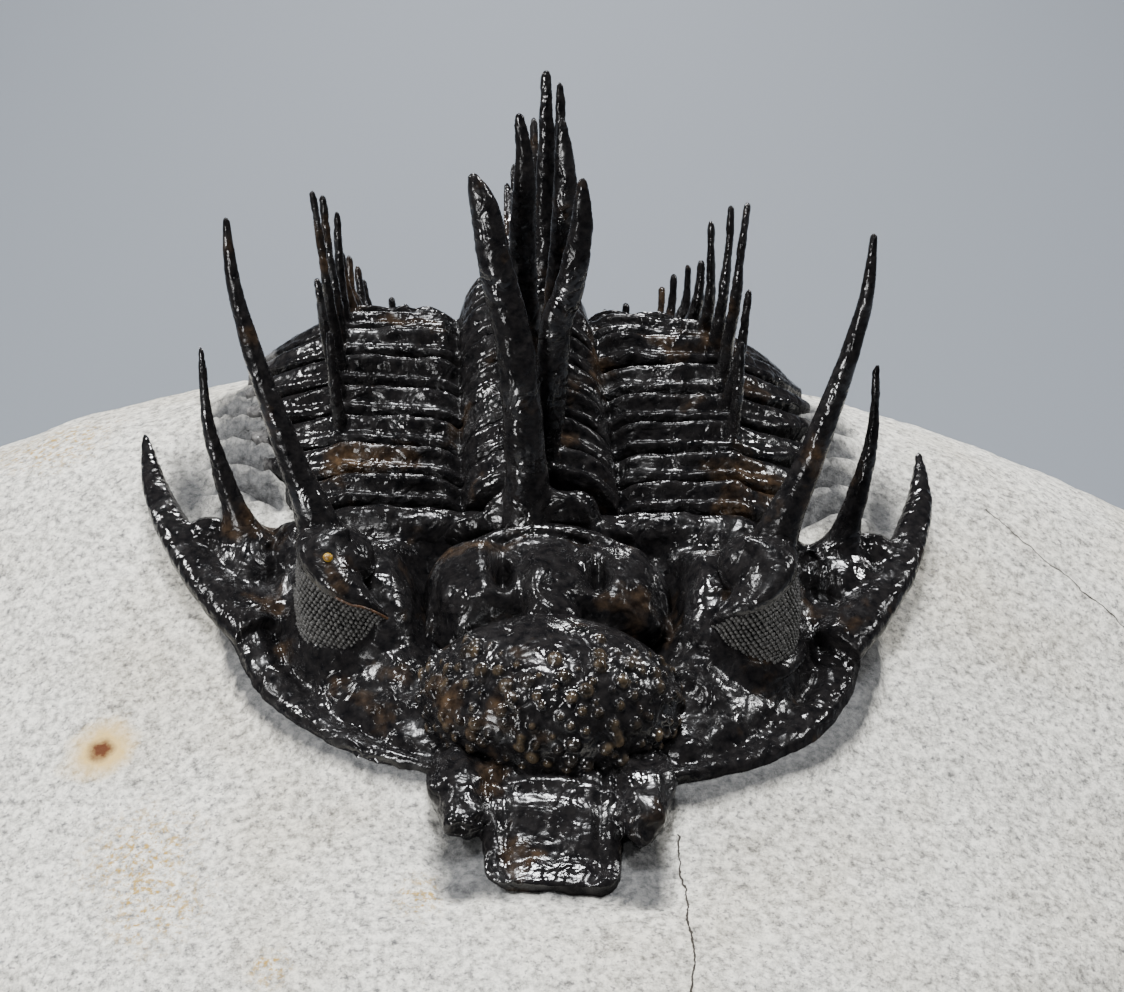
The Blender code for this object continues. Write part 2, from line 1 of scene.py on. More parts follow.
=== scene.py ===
# %% [markdown]
# # A spiny trilobite on its block of limestone
# The animal is a comura trilobite, about six centimetres long, freed from the rock by hand with fine tools. Its
# shell is black calcite, waxed until it shines, and it stands on what is left of the pale limestone round it.
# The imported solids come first, because every finer piece made below stands exactly where its solid does.

# %% Load the solids
import json
import math
import random

import bmesh
import bpy
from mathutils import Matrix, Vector, kdtree, noise as pattern

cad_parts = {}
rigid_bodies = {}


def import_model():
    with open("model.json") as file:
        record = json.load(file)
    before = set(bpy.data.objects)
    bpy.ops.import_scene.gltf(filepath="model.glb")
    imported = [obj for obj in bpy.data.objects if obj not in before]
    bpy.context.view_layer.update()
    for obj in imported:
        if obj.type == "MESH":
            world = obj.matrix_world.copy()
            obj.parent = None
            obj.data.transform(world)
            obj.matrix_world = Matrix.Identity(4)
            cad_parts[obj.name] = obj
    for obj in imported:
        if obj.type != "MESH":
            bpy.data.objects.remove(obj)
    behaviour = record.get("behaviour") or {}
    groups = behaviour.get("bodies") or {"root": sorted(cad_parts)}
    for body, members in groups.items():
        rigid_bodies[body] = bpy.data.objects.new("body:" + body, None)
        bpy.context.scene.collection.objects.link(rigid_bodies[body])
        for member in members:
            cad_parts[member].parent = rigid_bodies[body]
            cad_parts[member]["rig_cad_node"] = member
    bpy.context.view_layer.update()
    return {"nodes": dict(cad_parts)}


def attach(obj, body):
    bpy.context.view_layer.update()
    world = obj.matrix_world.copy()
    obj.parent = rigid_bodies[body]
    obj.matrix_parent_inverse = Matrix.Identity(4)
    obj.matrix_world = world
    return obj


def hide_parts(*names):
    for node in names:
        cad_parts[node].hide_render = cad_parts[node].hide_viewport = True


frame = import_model()
random.seed(11)
MM = 0.001

# %% [markdown]
# ## The camera
# A photographer looks down on such a fossil from in front of its head, at about 36 degrees, with a long lens
# from about a third of a metre away. The fossil's own frame has x across from its midline, y back towards its
# tail and z up, and stands two millimetres in front of the stone's middle and 34 above its base.

# %% Camera
FOSSIL_Y, FOSSIL_Z = -2.0, 34.0
CAMERA_RISE = math.radians(36)
CAMERA_DISTANCE = 320.0
AIM = Vector((1.03, FOSSIL_Y, FOSSIL_Z + 7.6))
SENSOR = 36.0
PIXELS_PER_RADIAN = 5280.0
IMAGE_WIDTH = 1124.0

camera = bpy.data.cameras.new("camera")
camera.sensor_width = SENSOR
camera.lens = PIXELS_PER_RADIAN / IMAGE_WIDTH * SENSOR
camera.clip_start, camera.clip_end = 0.01, 20.0
eye_point = bpy.data.objects.new("camera", camera)
bpy.context.scene.collection.objects.link(eye_point)
looking = Vector((0.0, math.cos(CAMERA_RISE), -math.sin(CAMERA_RISE)))
eye_point.location = (AIM - looking * CAMERA_DISTANCE) * MM
eye_point.rotation_euler = (math.pi / 2 - CAMERA_RISE, 0.0, 0.0)
bpy.context.scene.camera = eye_point
print("lens in mm:", round(camera.lens, 1))

# %% [markdown]
# ## Helpers for modelling by operator
# An operator works on whatever is selected, so each helper first selects one object and nothing else. A
# modifier is added and applied at once, which leaves a plain mesh behind.

# %% Select one object, apply one modifier
def only(obj):
    bpy.ops.object.select_all(action="DESELECT")
    obj.select_set(True)
    bpy.context.view_layer.objects.active = obj


def apply_modifier(obj, kind, **settings):
    only(obj)
    bpy.ops.object.modifier_add(type=kind)
    modifier = obj.modifiers[-1]
    for setting, value in settings.items():
        setattr(modifier, setting, value)
    bpy.ops.object.modifier_apply(modifier=modifier.name)


def triangles(obj):
    return sum(len(face.vertices) - 2 for face in obj.data.polygons)


# %% [markdown]
# ## The shape of the ground and of the animal
# The same few formulas place everything. The stone is a dome that runs up from the front, has its crown under
# the thorax and falls steeply behind. The animal lies over it, so the line of its thorax climbs, bends over
# the crown and runs down behind. Two small terms let the fossil sway and lean as the real one does.

# %% Smooth curves through a few points
def smooth_step(low, high, value):
    t = min(max((value - low) / (high - low), 0.0), 1.0)
    return t * t * (3 - 2 * t)


def through(points, at):
    last = len(points) - 1
    i = 0
    while i < last - 1 and at > points[i + 1][0]:
        i += 1

    def slope(k):
        a, b = points[max(k - 1, 0)], points[min(k + 1, last)]
        return (b[1] - a[1]) / (b[0] - a[0])

    (x0, y0), (x1, y1) = points[i], points[i + 1]
    span = x1 - x0
    t = min(max((at - x0) / span, 0.0), 1.0)
    start = y0 * (1 + 2 * t) * (1 - t) ** 2 + slope(i) * span * t * (1 - t) ** 2
    end = y1 * t * t * (3 - 2 * t) + slope(i + 1) * span * t * t * (t - 1)
    return start + end


# %% The stone's crown
STONE_CROWN = (
    (-48.0, -8.5), (-34.0, -2.6), (-19.0, -0.1), (-4.0, 2.9), (8.0, 5.5), (14.0, 5.8),
    (22.0, 2.6), (30.0, -4.0), (36.0, -9.2), (52.0, -19.0),
)
STONE_SIDE_FALL, STONE_LEAN = 0.0067, 0.05
HOLLOW_X, HOLLOW_Y, HOLLOW_ACROSS, HOLLOW_ALONG, HOLLOW_DEEP = 0.9, -24.5, 10.0, 5.0, 1.0
SWAY = (-0.15, -0.05, -0.001)
LEAN = 0.03


def stone_top(x, y):
    away = ((x - HOLLOW_X) / HOLLOW_ACROSS) ** 2 + ((y - HOLLOW_Y) / HOLLOW_ALONG) ** 2
    return through(STONE_CROWN, y) - STONE_SIDE_FALL * x * x - STONE_LEAN * x - HOLLOW_DEEP * math.exp(-away)


def midline(y):
    return SWAY[0] + SWAY[1] * y + SWAY[2] * y * y


def ground(x, y):
    return stone_top(x + midline(y), y) + LEAN * x


def placed(x, y, z):
    return Vector((x + midline(y), y + FOSSIL_Y, z - LEAN * x + FOSSIL_Z)) * MM


print("crown of the stone in mm above its base:", round(stone_top(0.0, 12.0) + FOSSIL_Z, 1))

# %% The line of the thorax and tail
CLIMB, CLIMB_LENGTH, BEND_LENGTH, DESCENT = math.radians(12), 13.5, 7.5, math.radians(-42)
PATH_START_Z = 5.7
AXIS_HEIGHT = 3.0
FULCRUM = ((0.0, 12.0), (8.0, 12.1), (16.0, 11.6), (24.0, 9.9), (28.0, 8.9))


def body_path(s):
    if s <= CLIMB_LENGTH:
        return s * math.cos(CLIMB), PATH_START_Z + s * math.sin(CLIMB), CLIMB
    radius = BEND_LENGTH / (CLIMB - DESCENT)
    along = min(s - CLIMB_LENGTH, BEND_LENGTH)
    pitch = CLIMB - along / radius
    y = CLIMB_LENGTH * math.cos(CLIMB) + radius * (math.sin(CLIMB) - math.sin(pitch))
    z = PATH_START_Z + CLIMB_LENGTH * math.sin(CLIMB) + radius * (math.cos(pitch) - math.cos(CLIMB))
    rest = max(s - CLIMB_LENGTH - BEND_LENGTH, 0.0)
    return y + rest * math.cos(pitch), z + rest * math.sin(pitch), pitch


def over_body(s, x, height):
    pitch = body_path(s)[2]
    bow = AXIS_HEIGHT * max(1 - (x / through(FULCRUM, s)) ** 2, 0.0)
    y, z, here = body_path(s - (bow - height) * math.tan(pitch))
    return x, y - height * math.sin(here), z + height * math.cos(here)


# %% [markdown]
# ## Four ways to start a shape
# Every part of the shell starts as a primitive. A flat grid is thickened down into the stone and its points
# are laid over the ground: that makes plates. A ball is squeezed into a lobe, drawn out along a curve into a
# spine, or turned into a drum.

# %% Plates: a grid laid over the ground
SINK = 0.6


def plate(name, across, along, top):
    """top(u, v) gives a point of the upper face, with u across and v along, both from 0 to 1."""
    bpy.ops.object.select_all(action="DESELECT")
    bpy.ops.mesh.primitive_grid_add(x_subdivisions=across, y_subdivisions=along, size=1.0)
    obj = bpy.context.object
    obj.name = name
    bpy.ops.object.mode_set(mode="EDIT")
    bpy.ops.mesh.select_all(action="SELECT")
    bpy.ops.mesh.extrude_region_move(TRANSFORM_OT_translate={"value": (0.0, 0.0, -1.0)})
    bpy.ops.object.mode_set(mode="OBJECT")
    for vertex in obj.data.vertices:
        x, y, z = top(vertex.co.x + 0.5, vertex.co.y + 0.5)
        vertex.co = placed(x, y, ground(x, y) - SINK if vertex.co.z < -0.5 else z)
    face_outwards(obj)
    return obj


def face_outwards(obj):
    only(obj)
    bpy.ops.object.mode_set(mode="EDIT")
    bpy.ops.mesh.select_all(action="SELECT")
    bpy.ops.mesh.normals_make_consistent(inside=False)
    bpy.ops.object.mode_set(mode="OBJECT")


# %% Lobes: a ball squeezed to three half sizes
def ball(segments, rings):
    bpy.ops.object.select_all(action="DESELECT")
    bpy.ops.mesh.primitive_uv_sphere_add(segments=segments, ring_count=rings, radius=1.0)
    return bpy.context.object


def lobe(centre, radii, segments=48, rings=32, lumpy=0.0):
    obj = ball(segments, rings)
    for vertex in obj.data.vertices:
        swell = 1 + lumpy * pattern.noise(vertex.co * 2.0 + Vector(centre))
        x, y, z = (middle + half * unit * swell for middle, half, unit in zip(centre, radii, vertex.co))
        vertex.co = placed(x, y, z)
    return obj


# %% Spines: a ball drawn out along a curve
TIP_SIZE = 0.24


def along_curve(stations, t):
    """Point and half width at t from 0 to 1 on a smooth curve through the stations."""
    places = [i / (len(stations) - 1) for i in range(len(stations))]
    return [through([(at, station[k]) for at, station in zip(places, stations)], t) for k in range(4)]


def horn(stations, side=1, depth=0.8, drift=0.0, flare=0.8, segments=22, rings=64, thin=(0.0, 1.0, 0.0), tip=TIP_SIZE):
    last = len(stations) - 1
    stations = [(side * x + drift * i / last, y, z, max(r, tip)) for i, (x, y, z, r) in enumerate(stations)]
    length = sum((Vector(a[:3]) - Vector(b[:3])).length for a, b in zip(stations, stations[1:]))
    obj = ball(segments, rings)
    for vertex in obj.data.vertices:
        t = (vertex.co.z + 1) / 2
        x, y, z, width = along_curve(stations, t)
        ahead, behind = along_curve(stations, min(t + 0.01, 1.0)), along_curve(stations, max(t - 0.01, 0.0))
        direction = (Vector(ahead[:3]) - Vector(behind[:3])).normalized()
        wide = direction.cross(Vector(thin)).normalized()
        narrow = wide.cross(direction)
        round_tip = math.sqrt(max(1 - max(1 - (1 - t) * length / (1.6 * width), 0.0) ** 2, 0.0))
        width *= round_tip * (1 + flare * math.exp(-t * length / 1.3))
        turn = math.atan2(vertex.co.y, vertex.co.x)
        off = wide * math.cos(turn) + narrow * depth * math.sin(turn)
        vertex.co = placed(*(Vector((x, y, z)) + off * width))
    return obj


# %% [markdown]
# ## Growing pieces together
# A spine of the real shell swells out of its plate with no seam. Joined shapes only pass through each other,
# so each joined piece is remeshed in small voxels, which makes one skin, and then smoothed, which softens the
# corners where shapes meet. Two displacements with cloud textures give the skin the lumps and the tool marks
# that are left when rock is scraped away from it. Modelling each joint by hand would take far longer.

# %% Join, remesh, smooth and roughen
def clouds(name, size, depth=2):
    texture = bpy.data.textures.new(name, "CLOUDS")
    texture.noise_scale = size * MM
    texture.noise_depth = depth
    texture.noise_basis = "IMPROVED_PERLIN"
    return texture


LUMPS = clouds("lumps", 1.7)
TOOL_MARKS = clouds("tool marks", 0.55)


def grow_together(name, parts, voxel, smoothing=3, lumps=0.16, marks=0.1):
    bpy.ops.object.select_all(action="DESELECT")
    for part in parts:
        part.select_set(True)
    bpy.context.view_layer.objects.active = parts[0]
    bpy.ops.object.join()
    obj = bpy.context.object
    obj.name = name
    apply_modifier(obj, "REMESH", mode="VOXEL", voxel_size=voxel * MM)
    apply_modifier(obj, "SMOOTH", factor=0.5, iterations=smoothing)
    for texture, strength in ((LUMPS, lumps), (TOOL_MARKS, marks)):
        apply_modifier(obj, "DISPLACE", texture=texture, texture_coords="LOCAL", mid_level=0.5, strength=strength * MM)
    only(obj)
    bpy.ops.object.shade_smooth()
    print(name, "triangles:", triangles(obj))
    return obj


# %% [markdown]
# ## Materials
# The shell is black calcite under a thin wax. It is nearly black with brown stains where iron got in, and it
# glitters, because its skin is finely pitted and each pit throws its own highlight. So the colour is nearly
# flat, and most of the work is in the bump and in how gloss and roughness change from place to place.

# %% A small kit for node materials
def new_material(name):
    made = bpy.data.materials.new(name)
    made.use_nodes = True
    return made, made.node_tree.nodes, made.node_tree.links, made.node_tree.nodes["Principled BSDF"]


def noise(nodes, links, coords, size, detail=3.0, roughness=0.55, distortion=0.0):
    """A noise pattern whose blobs are about size millimetres across."""
    node = nodes.new("ShaderNodeTexNoise")
    node.inputs["Scale"].default_value = 1 / (size * MM)
    node.inputs["Detail"].default_value = detail
    node.inputs["Roughness"].default_value = roughness
    node.inputs["Distortion"].default_value = distortion
    links.new(coords, node.inputs["Vector"])
    return node.outputs["Fac"]


def ramp(nodes, links, value, stops):
    node = nodes.new("ShaderNodeValToRGB")
    node.color_ramp.elements[0].position, node.color_ramp.elements[0].color = stops[0][0], stops[0][1]
    node.color_ramp.elements[1].position, node.color_ramp.elements[1].color = stops[-1][0], stops[-1][1]
    for position, colour in stops[1:-1]:
        node.color_ramp.elements.new(position).color = colour
    links.new(value, node.inputs["Fac"])
    return node.outputs["Color"]


def grey(value):
    return (value, value, value, 1.0)


def mix(nodes, links, share, first, second):
    node = nodes.new("ShaderNodeMix")
    node.data_type = "RGBA"
    links.new(share, node.inputs["Factor"])
    for socket, value in ((node.inputs["A"], first), (node.inputs["B"], second)):
        if isinstance(value, tuple):
            socket.default_value = value
        else:
            links.new(value, socket)
    return node.outputs["Result"]


def maths(nodes, links, operation, first, second=None):
    node = nodes.new("ShaderNodeMath")
    node.operation = operation
    for socket, value in zip(node.inputs, (first, second)):
        if isinstance(value, (int, float)):
            socket.default_value = value
        elif value is not None:
            links.new(value, socket)
    return node.outputs["Value"]


def bump(nodes, links, height, distance, strength=1.0, under=None):
    node = nodes.new("ShaderNodeBump")
    node.inputs["Strength"].default_value = strength
    node.inputs["Distance"].default_value = distance * MM
    links.new(height, node.inputs["Height"])
    if under is not None:
        links.new(under, node.inputs["Normal"])
    return node.outputs["Normal"]


# %% The waxed black shell
def shell_material(name, stain=1.0, pale_beyond=None, warty=False):
    made, nodes, links, surface = new_material(name)
    coords = nodes.new("ShaderNodeTexCoord").outputs["Object"]
    broad = noise(nodes, links, coords, 4.5, 4.0)
    fine = noise(nodes, links, coords, 0.5, 3.0)
    black = ramp(nodes, links, fine, [(0.3, (0.0025, 0.0025, 0.003, 1)), (0.7, (0.011, 0.010, 0.010, 1))])
    brown = ramp(nodes, links, fine, [(0.35, (0.022, 0.013, 0.007, 1)), (0.7, (0.085, 0.05, 0.024, 1))])
    stained = ramp(nodes, links, broad, [(0.57, grey(0.0)), (0.75, grey(0.7 * stain))])
    colour = mix(nodes, links, stained, black, brown)
    if warty:
        on_wart = nodes.new("ShaderNodeAttribute")
        on_wart.attribute_name = "wart_brown"
        horn_brown = ramp(nodes, links, fine, [(0.35, (0.016, 0.012, 0.008, 1)), (0.7, (0.075, 0.054, 0.032, 1))])
        colour = mix(nodes, links, on_wart.outputs["Fac"], colour, horn_brown)
    if pale_beyond is not None:
        colour = pale_edge(nodes, links, coords, colour, fine, pale_beyond)
    links.new(colour, surface.inputs["Base Color"])
    patches = noise(nodes, links, coords, 1.3, 2.0)
    glossy = ramp(nodes, links, patches, [(0.38, grey(0.1)), (0.62, grey(0.28))])
    links.new(glossy, surface.inputs["Roughness"])
    zones = noise(nodes, links, coords, 3.4, 3.0)
    links.new(ramp(nodes, links, zones, [(0.38, grey(0.6)), (0.54, grey(0.1))]), surface.inputs["Specular IOR Level"])
    pits = bump(nodes, links, noise(nodes, links, coords, 0.32, 2.0, 0.5), 0.05, 0.7)
    hills = noise(nodes, links, coords, 1.7, 2.0, 0.5, 0.8)
    creases = maths(nodes, links, "ABSOLUTE", maths(nodes, links, "SUBTRACT", hills, 0.5))
    waves = bump(nodes, links, creases, 0.34, 0.8, pits)
    links.new(waves, surface.inputs["Normal"])
    return made


def pale_edge(nodes, links, coords, colour, fine, beyond):
    """Grey rock that still clings to the shell further out from the midline than beyond millimetres."""
    split = nodes.new("ShaderNodeSeparateXYZ")
    links.new(coords, split.inputs["Vector"])
    out = maths(nodes, links, "ABSOLUTE", maths(nodes, links, "ADD", split.outputs["X"], 0.4 * MM))
    ragged = maths(nodes, links, "MULTIPLY", noise(nodes, links, coords, 1.6, 3.0), 3.0 * MM)
    far = maths(nodes, links, "MULTIPLY", maths(nodes, links, "ADD", out, ragged), 1 / MM)
    share = maths(nodes, links, "SMOOTH_MIN", maths(nodes, links, "SUBTRACT", far, beyond + 1.5), 1.0)
    clamped = nodes.new("ShaderNodeClamp")
    links.new(share, clamped.inputs["Value"])
    rock = ramp(nodes, links, fine, [(0.3, (0.035, 0.034, 0.034, 1)), (0.7, (0.16, 0.155, 0.15, 1))])
    return mix(nodes, links, clamped.outputs["Result"], colour, rock)


SHELL = shell_material("waxed black shell")
WARTY_SHELL = shell_material("waxed black shell, brown on the warts", warty=True)
THORAX_SHELL = shell_material("waxed black shell, rock at the tips", pale_beyond=16.6)
print("materials:", SHELL.name, "and", THORAX_SHELL.name)

# %% [markdown]
# The eye's lens field is duller than the rest: a net of tiny lenses with dark gaps between them, which
# scatters the light instead of throwing it back.

# %% The lens fields
def lens_material():
    made, nodes, links, surface = new_material("dull lenses")
    coords = nodes.new("ShaderNodeTexCoord").outputs["Object"]
    fine = noise(nodes, links, coords, 0.35, 3.0)
    colour = ramp(nodes, links, fine, [(0.3, (0.016, 0.0155, 0.015, 1)), (0.7, (0.06, 0.058, 0.055, 1))])
    links.new(colour, surface.inputs["Base Color"])
    surface.inputs["Roughness"].default_value = 0.5
    surface.inputs["Specular IOR Level"].default_value = 0.35
    links.new(bump(nodes, links, noise(nodes, links, coords, 0.2, 2.0), 0.05, 0.6), surface.inputs["Normal"])
    return made


LENSES = lens_material()

# %% [markdown]
# ## The head shield
# The head is a broad half-moon plate. Its cheeks slope down from beside the eyes to a raised rim, with a
# groove inside the rim, and another groove and a ridge run along its back edge.

# %% The cheeks
HEAD_HALF_WIDTH, HEAD_WIDEST_Y, HEAD_FRONT, HEAD_POWER = 19.4, -3.0, 16.0, 2.25
HEAD_BACK_Y, HEAD_FRONT_Y = 0.95, -18.9
HEAD_RIM = 1.0
BASIN_FLOOR = 3.2
EYE_CENTRE = (11.6, -7.2)
HEAD_PLATFORM = (
    (-19.0, 0.9), (-17.0, 1.2), (-14.0, 2.4), (-11.0, 5.0), (-8.0, 6.8), (-5.0, 7.1), (-1.5, 6.1), (0.3, 6.3),
    (3.0, 5.4),
)


def head_half_width(y):
    forward = max(HEAD_WIDEST_Y - y, 0.0) / HEAD_FRONT
    return HEAD_HALF_WIDTH * max(1 - forward ** HEAD_POWER, 0.0) ** (1 / HEAD_POWER)


def cheeks(u, v):
    nominal = HEAD_BACK_Y + (HEAD_FRONT_Y - HEAD_BACK_Y) * v
    half = head_half_width(nominal)
    x = (2 * u - 1) * half
    back = max(1 - v * 6.5, 0.0)
    y = nominal + back * (1.6 * smooth_step(13.0, 19.0, abs(x)) - 0.62 * max(1 - (x / 12) ** 2, 0.0))
    edge = min(half * (1 - abs(2 * u - 1)), (nominal - HEAD_FRONT_Y) * 1.4)
    rim_level = ground(x, y) + HEAD_RIM
    inside = through(HEAD_PLATFORM, y)
    z = rim_level + max(inside - rim_level, 0.0) * smooth_step(0.05, 0.5, edge / max(half, 1.0))
    z += 0.35 * math.exp(-((edge - 1.1) / 0.8) ** 2) - 0.45 * math.exp(-((edge - 2.9) / 0.7) ** 2)
    z -= 0.8 * (1 - smooth_step(0.0, 0.6, edge)) ** 2
    from_back = HEAD_BACK_Y - nominal
    beside = smooth_step(4.6, 6.0, abs(x))
    z += beside * (0.3 * math.exp(-((from_back - 1.1) / 0.7) ** 2) - 0.75 * math.exp(-((from_back - 2.9) / 0.65) ** 2))
    z -= 0.5 * (1 - smooth_step(0.0, 0.35, from_back)) ** 2
    round_eye = math.hypot(abs(x) - EYE_CENTRE[0], y - EYE_CENTRE[1])
    z -= 0.6 * math.exp(-((round_eye - 4.6) / 0.6) ** 2)
    basin = (1 - smooth_step(6.6, 9.6, abs(x))) * smooth_step(-0.9, -3.4, y)
    z -= max(z - BASIN_FLOOR, 0.0) * basin
    stream = math.atan2(y - EYE_CENTRE[1], abs(x) - EYE_CENTRE[0])
    fibres = pattern.noise(Vector((stream * 9.0, round_eye * 0.35, 1.0 if x > 0 else 5.0)))
    z += 0.22 * fibres * smooth_step(3.9, 4.6, round_eye) * smooth_step(8.5, 5.5, round_eye)
    wrinkle = pattern.noise(Vector((x * 0.45, y * 0.45, 3.0))) + 0.5 * pattern.noise(Vector((x * 1.1, y * 1.1, 7.0)))
    return x, y, z + 0.3 * wrinkle * smooth_step(0.6, 3.0, edge)


# %% The front tongue, its two side lobes and the cheek corners
def tongue(u, v):
    y = -15.5 - 10.1 * v
    corner = math.sqrt(max(1 - (max(v - 0.9, 0.0) / 0.1) ** 2, 0.0))
    half = (4.4 - 0.5 * v) * (0.72 + 0.28 * corner)
    c = 2 * u - 1
    rise = 1.9 - 1.3 * smooth_step(0.4, 1.0, v)
    bowed = y + 0.9 * c * c
    ridges = 0.22 * pattern.noise(Vector((c * 0.7, bowed * 1.5, 0.0))) - 0.32 * math.exp(-((abs(c) - 0.68) / 0.07) ** 2)
    ridges += 0.25 * math.exp(-((bowed + 19.6) / 0.3) ** 2) + 0.12 * math.exp(-((abs(c) - 0.85) / 0.08) ** 2)
    z = ground(c * half, y) + 0.45 + (rise - 0.45 + ridges) * (1 - smooth_step(0.8, 1.0, abs(c)) * 0.55)
    return c * half, y, z


GENAL_SPINE = (
    (17.4, -6.6, 1.6, 1.7), (19.7, -3.0, 1.9, 1.6), (22.0, 1.0, 2.6, 1.25), (23.65, 6.0, 3.2, 0.85),
    (24.3, 11.2, 3.6, 0.12),
)
CHEEK_SPINE = (
    (18.2, 0.5, 3.2, 1.25), (18.7, 1.0, 5.3, 0.8), (19.4, 1.7, 7.6, 0.62), (20.15, 2.6, 10.8, 0.43),
    (20.4, 3.8, 15.4, 0.08),
)
head_parts = [plate("cheeks", 190, 110, cheeks), plate("tongue", 60, 60, tongue)]
for side in (-1, 1):
    head_parts.append(lobe((side * 18.2, -0.2, 1.8), (2.2, 2.5, 2.2)))
    head_parts.append(lobe((side * 20.2, 1.3, 3.0), (1.5, 1.3, 1.2)))
    head_parts.append(lobe((side * 5.4, -19.0, 0.4), (1.75, 3.5, 1.75), lumpy=0.35))
    head_parts.append(lobe((side * 5.2, -21.0, 0.2), (1.4, 2.2, 1.25), lumpy=0.4))
    head_parts.append(horn(GENAL_SPINE, side, depth=0.7, flare=0.0, thin=(0.0, 0.0, 1.0)))
    head_parts.append(horn(CHEEK_SPINE, side, depth=0.9, flare=0.6))
cheek_piece = grow_together("cheeks_and_rim", head_parts, 0.2, 3, 0.2, 0.16)

# %% [markdown]
# ## The glabella
# Between the eyes swells the glabella. Its big front lobe hangs over the rim and is covered in warts, each
# of which catches the light. A groove parts it from two rear lobes, and a long pit lies on either side of the
# keel between them. Points spread by the golden angle never line up, so the warts look grown.

# %% Warts spread over the front lobe
FRONTAL = ((0.0, -13.5, 2.5), (7.7, 5.3, 4.9))
WARTS = 290
GOLDEN_TURN = math.pi * (3 - math.sqrt(5))


def on_lobe(spin, tilt, scale=1.0):
    centre, radii = FRONTAL
    out = (math.cos(spin) * math.cos(tilt), math.sin(spin) * math.cos(tilt), math.sin(tilt))
    return [c + r * o * scale for c, r, o in zip(centre, radii, out)]


warts, wart_tops = [], []
for k in range(WARTS):
    tilt = math.asin(0.93 - 1.4 * (k + 0.5) / WARTS) + random.uniform(-0.05, 0.05)
    spin = (k * GOLDEN_TURN + random.uniform(-0.08, 0.08)) % (2 * math.pi)
    if math.sin(spin) < 0.3:
        size = random.choice((0.22, 0.28, 0.34, 0.4, 0.47))
        warts.append(lobe(on_lobe(spin, tilt, 1.0), (size, size, size), 14, 8))
        wart_tops.append((placed(*on_lobe(spin, tilt, 1.06)), size, random.uniform(0.1, 0.9)))
print("warts:", len(warts))

# %% The front and rear lobes
rear = [lobe((side * 3.6, -6.3, 3.7), (3.9, 4.3, 3.9), 64, 40, 0.12) for side in (-1, 1)]
rear.append(lobe((0.0, -4.0, 4.0), (4.6, 1.9, 3.1), lumpy=0.1))
keel = lobe((0.2, -6.8, 5.4), (2.35, 4.6, 2.3), lumpy=0.15)
COLLAR = ((-7.4, -9.8, 2.4, 0.3), (-6.2, -6.0, 6.0, 0.4), (-3.4, -3.3, 6.6, 0.42), (0.2, -2.6, 6.9, 0.5),
          (3.7, -3.3, 6.6, 0.42), (6.4, -6.0, 6.0, 0.4), (7.6, -9.8, 2.4, 0.3))
collar = horn(COLLAR, depth=1.0, flare=0.0, thin=(0.0, 0.0, 1.0))
glabella = grow_together("glabella", [lobe(*FRONTAL, 96, 64), keel, *rear, collar, *warts], 0.12, 3, 0.16, 0.12)

# %% Pits beside the keel, and the groove behind the front lobe
PITS = ((-2.7, -6.4), (3.1, -6.4))
GROOVE = ((-8.0, -11.4), (-4.0, -9.9), (0.0, -9.3), (4.0, -9.9), (8.0, -11.4))
for vertex in glabella.data.vertices:
    y = vertex.co.y / MM - FOSSIL_Y
    x = vertex.co.x / MM - midline(y)
    up = smooth_step(2.5, 4.5, vertex.co.z / MM - FOSSIL_Z)
    pit = sum(math.exp(-((x - a) / 0.6) ** 2 - ((y - b) / 1.5) ** 2) for a, b in PITS)
    in_groove = math.exp(-((y - through(GROOVE, x)) / 0.55) ** 2) * smooth_step(0.6, 2.2, abs(x))
    vertex.co.z -= (2.3 * pit + 0.8 * in_groove) * up * MM
print("pits:", len(PITS))

# %% Mark the warts, which are browner than the shell between them
tree = kdtree.KDTree(len(wart_tops))
for k, (top, _, _) in enumerate(wart_tops):
    tree.insert(top, k)
tree.balance()
brown_marks = glabella.data.attributes.new("wart_brown", "FLOAT", "POINT")
for vertex, mark in zip(glabella.data.vertices, brown_marks.data):
    _, k, away = tree.find(vertex.co)
    _, size, strength = wart_tops[k]
    mark.value = strength * smooth_step(size * 1.25, size * 0.7, away / MM)
print("brown points on the warts:", sum(mark.value > 0.3 for mark in brown_marks.data))

# %% The neck ring and its great spine
HEAD_MEDIAN_SPINE = (
    (-1.0, -1.6, 5.6, 1.4), (-1.1, -0.8, 12.0, 1.22), (-1.7, 1.0, 18.7, 1.16), (-2.6, 2.2, 22.6, 1.07),
    (-3.3, 3.3, 26.4, 0.85), (-3.97, 3.9, 28.2, 0.3),
)
ring = lobe((0.0, -1.2, 4.6), (5.2, 1.7, 4.2), 64, 40, 0.3)
neck_spine = horn(HEAD_MEDIAN_SPINE, depth=0.75, flare=0.7, rings=90)
neck = grow_together("neck_ring_and_spine", [ring, neck_spine], 0.12, 4, 0.3, 0.12)

# %% [markdown]
# ## The eyes
# Each eye is a turret: a drum with hundreds of lenses in rows on its outer face, a sharp rim over them, and a
# roof that runs up into a long spine. A ball whose points are moved onto the outline of a drum gives the turret,
# and the lenses are copies of one small ball, moved by hardly more than a hair to look less even.

# %% Turret and spine
def eye_lift(z, outward):
    """The roof slopes: high on the outer side, where the spine stands, and low towards the glabella."""
    share = 1 + 0.3 * outward if outward > 0 else 1 - 0.72 * abs(outward) ** 1.8
    return 2.0 + (z - 2.0) * share if z > 2.0 else z


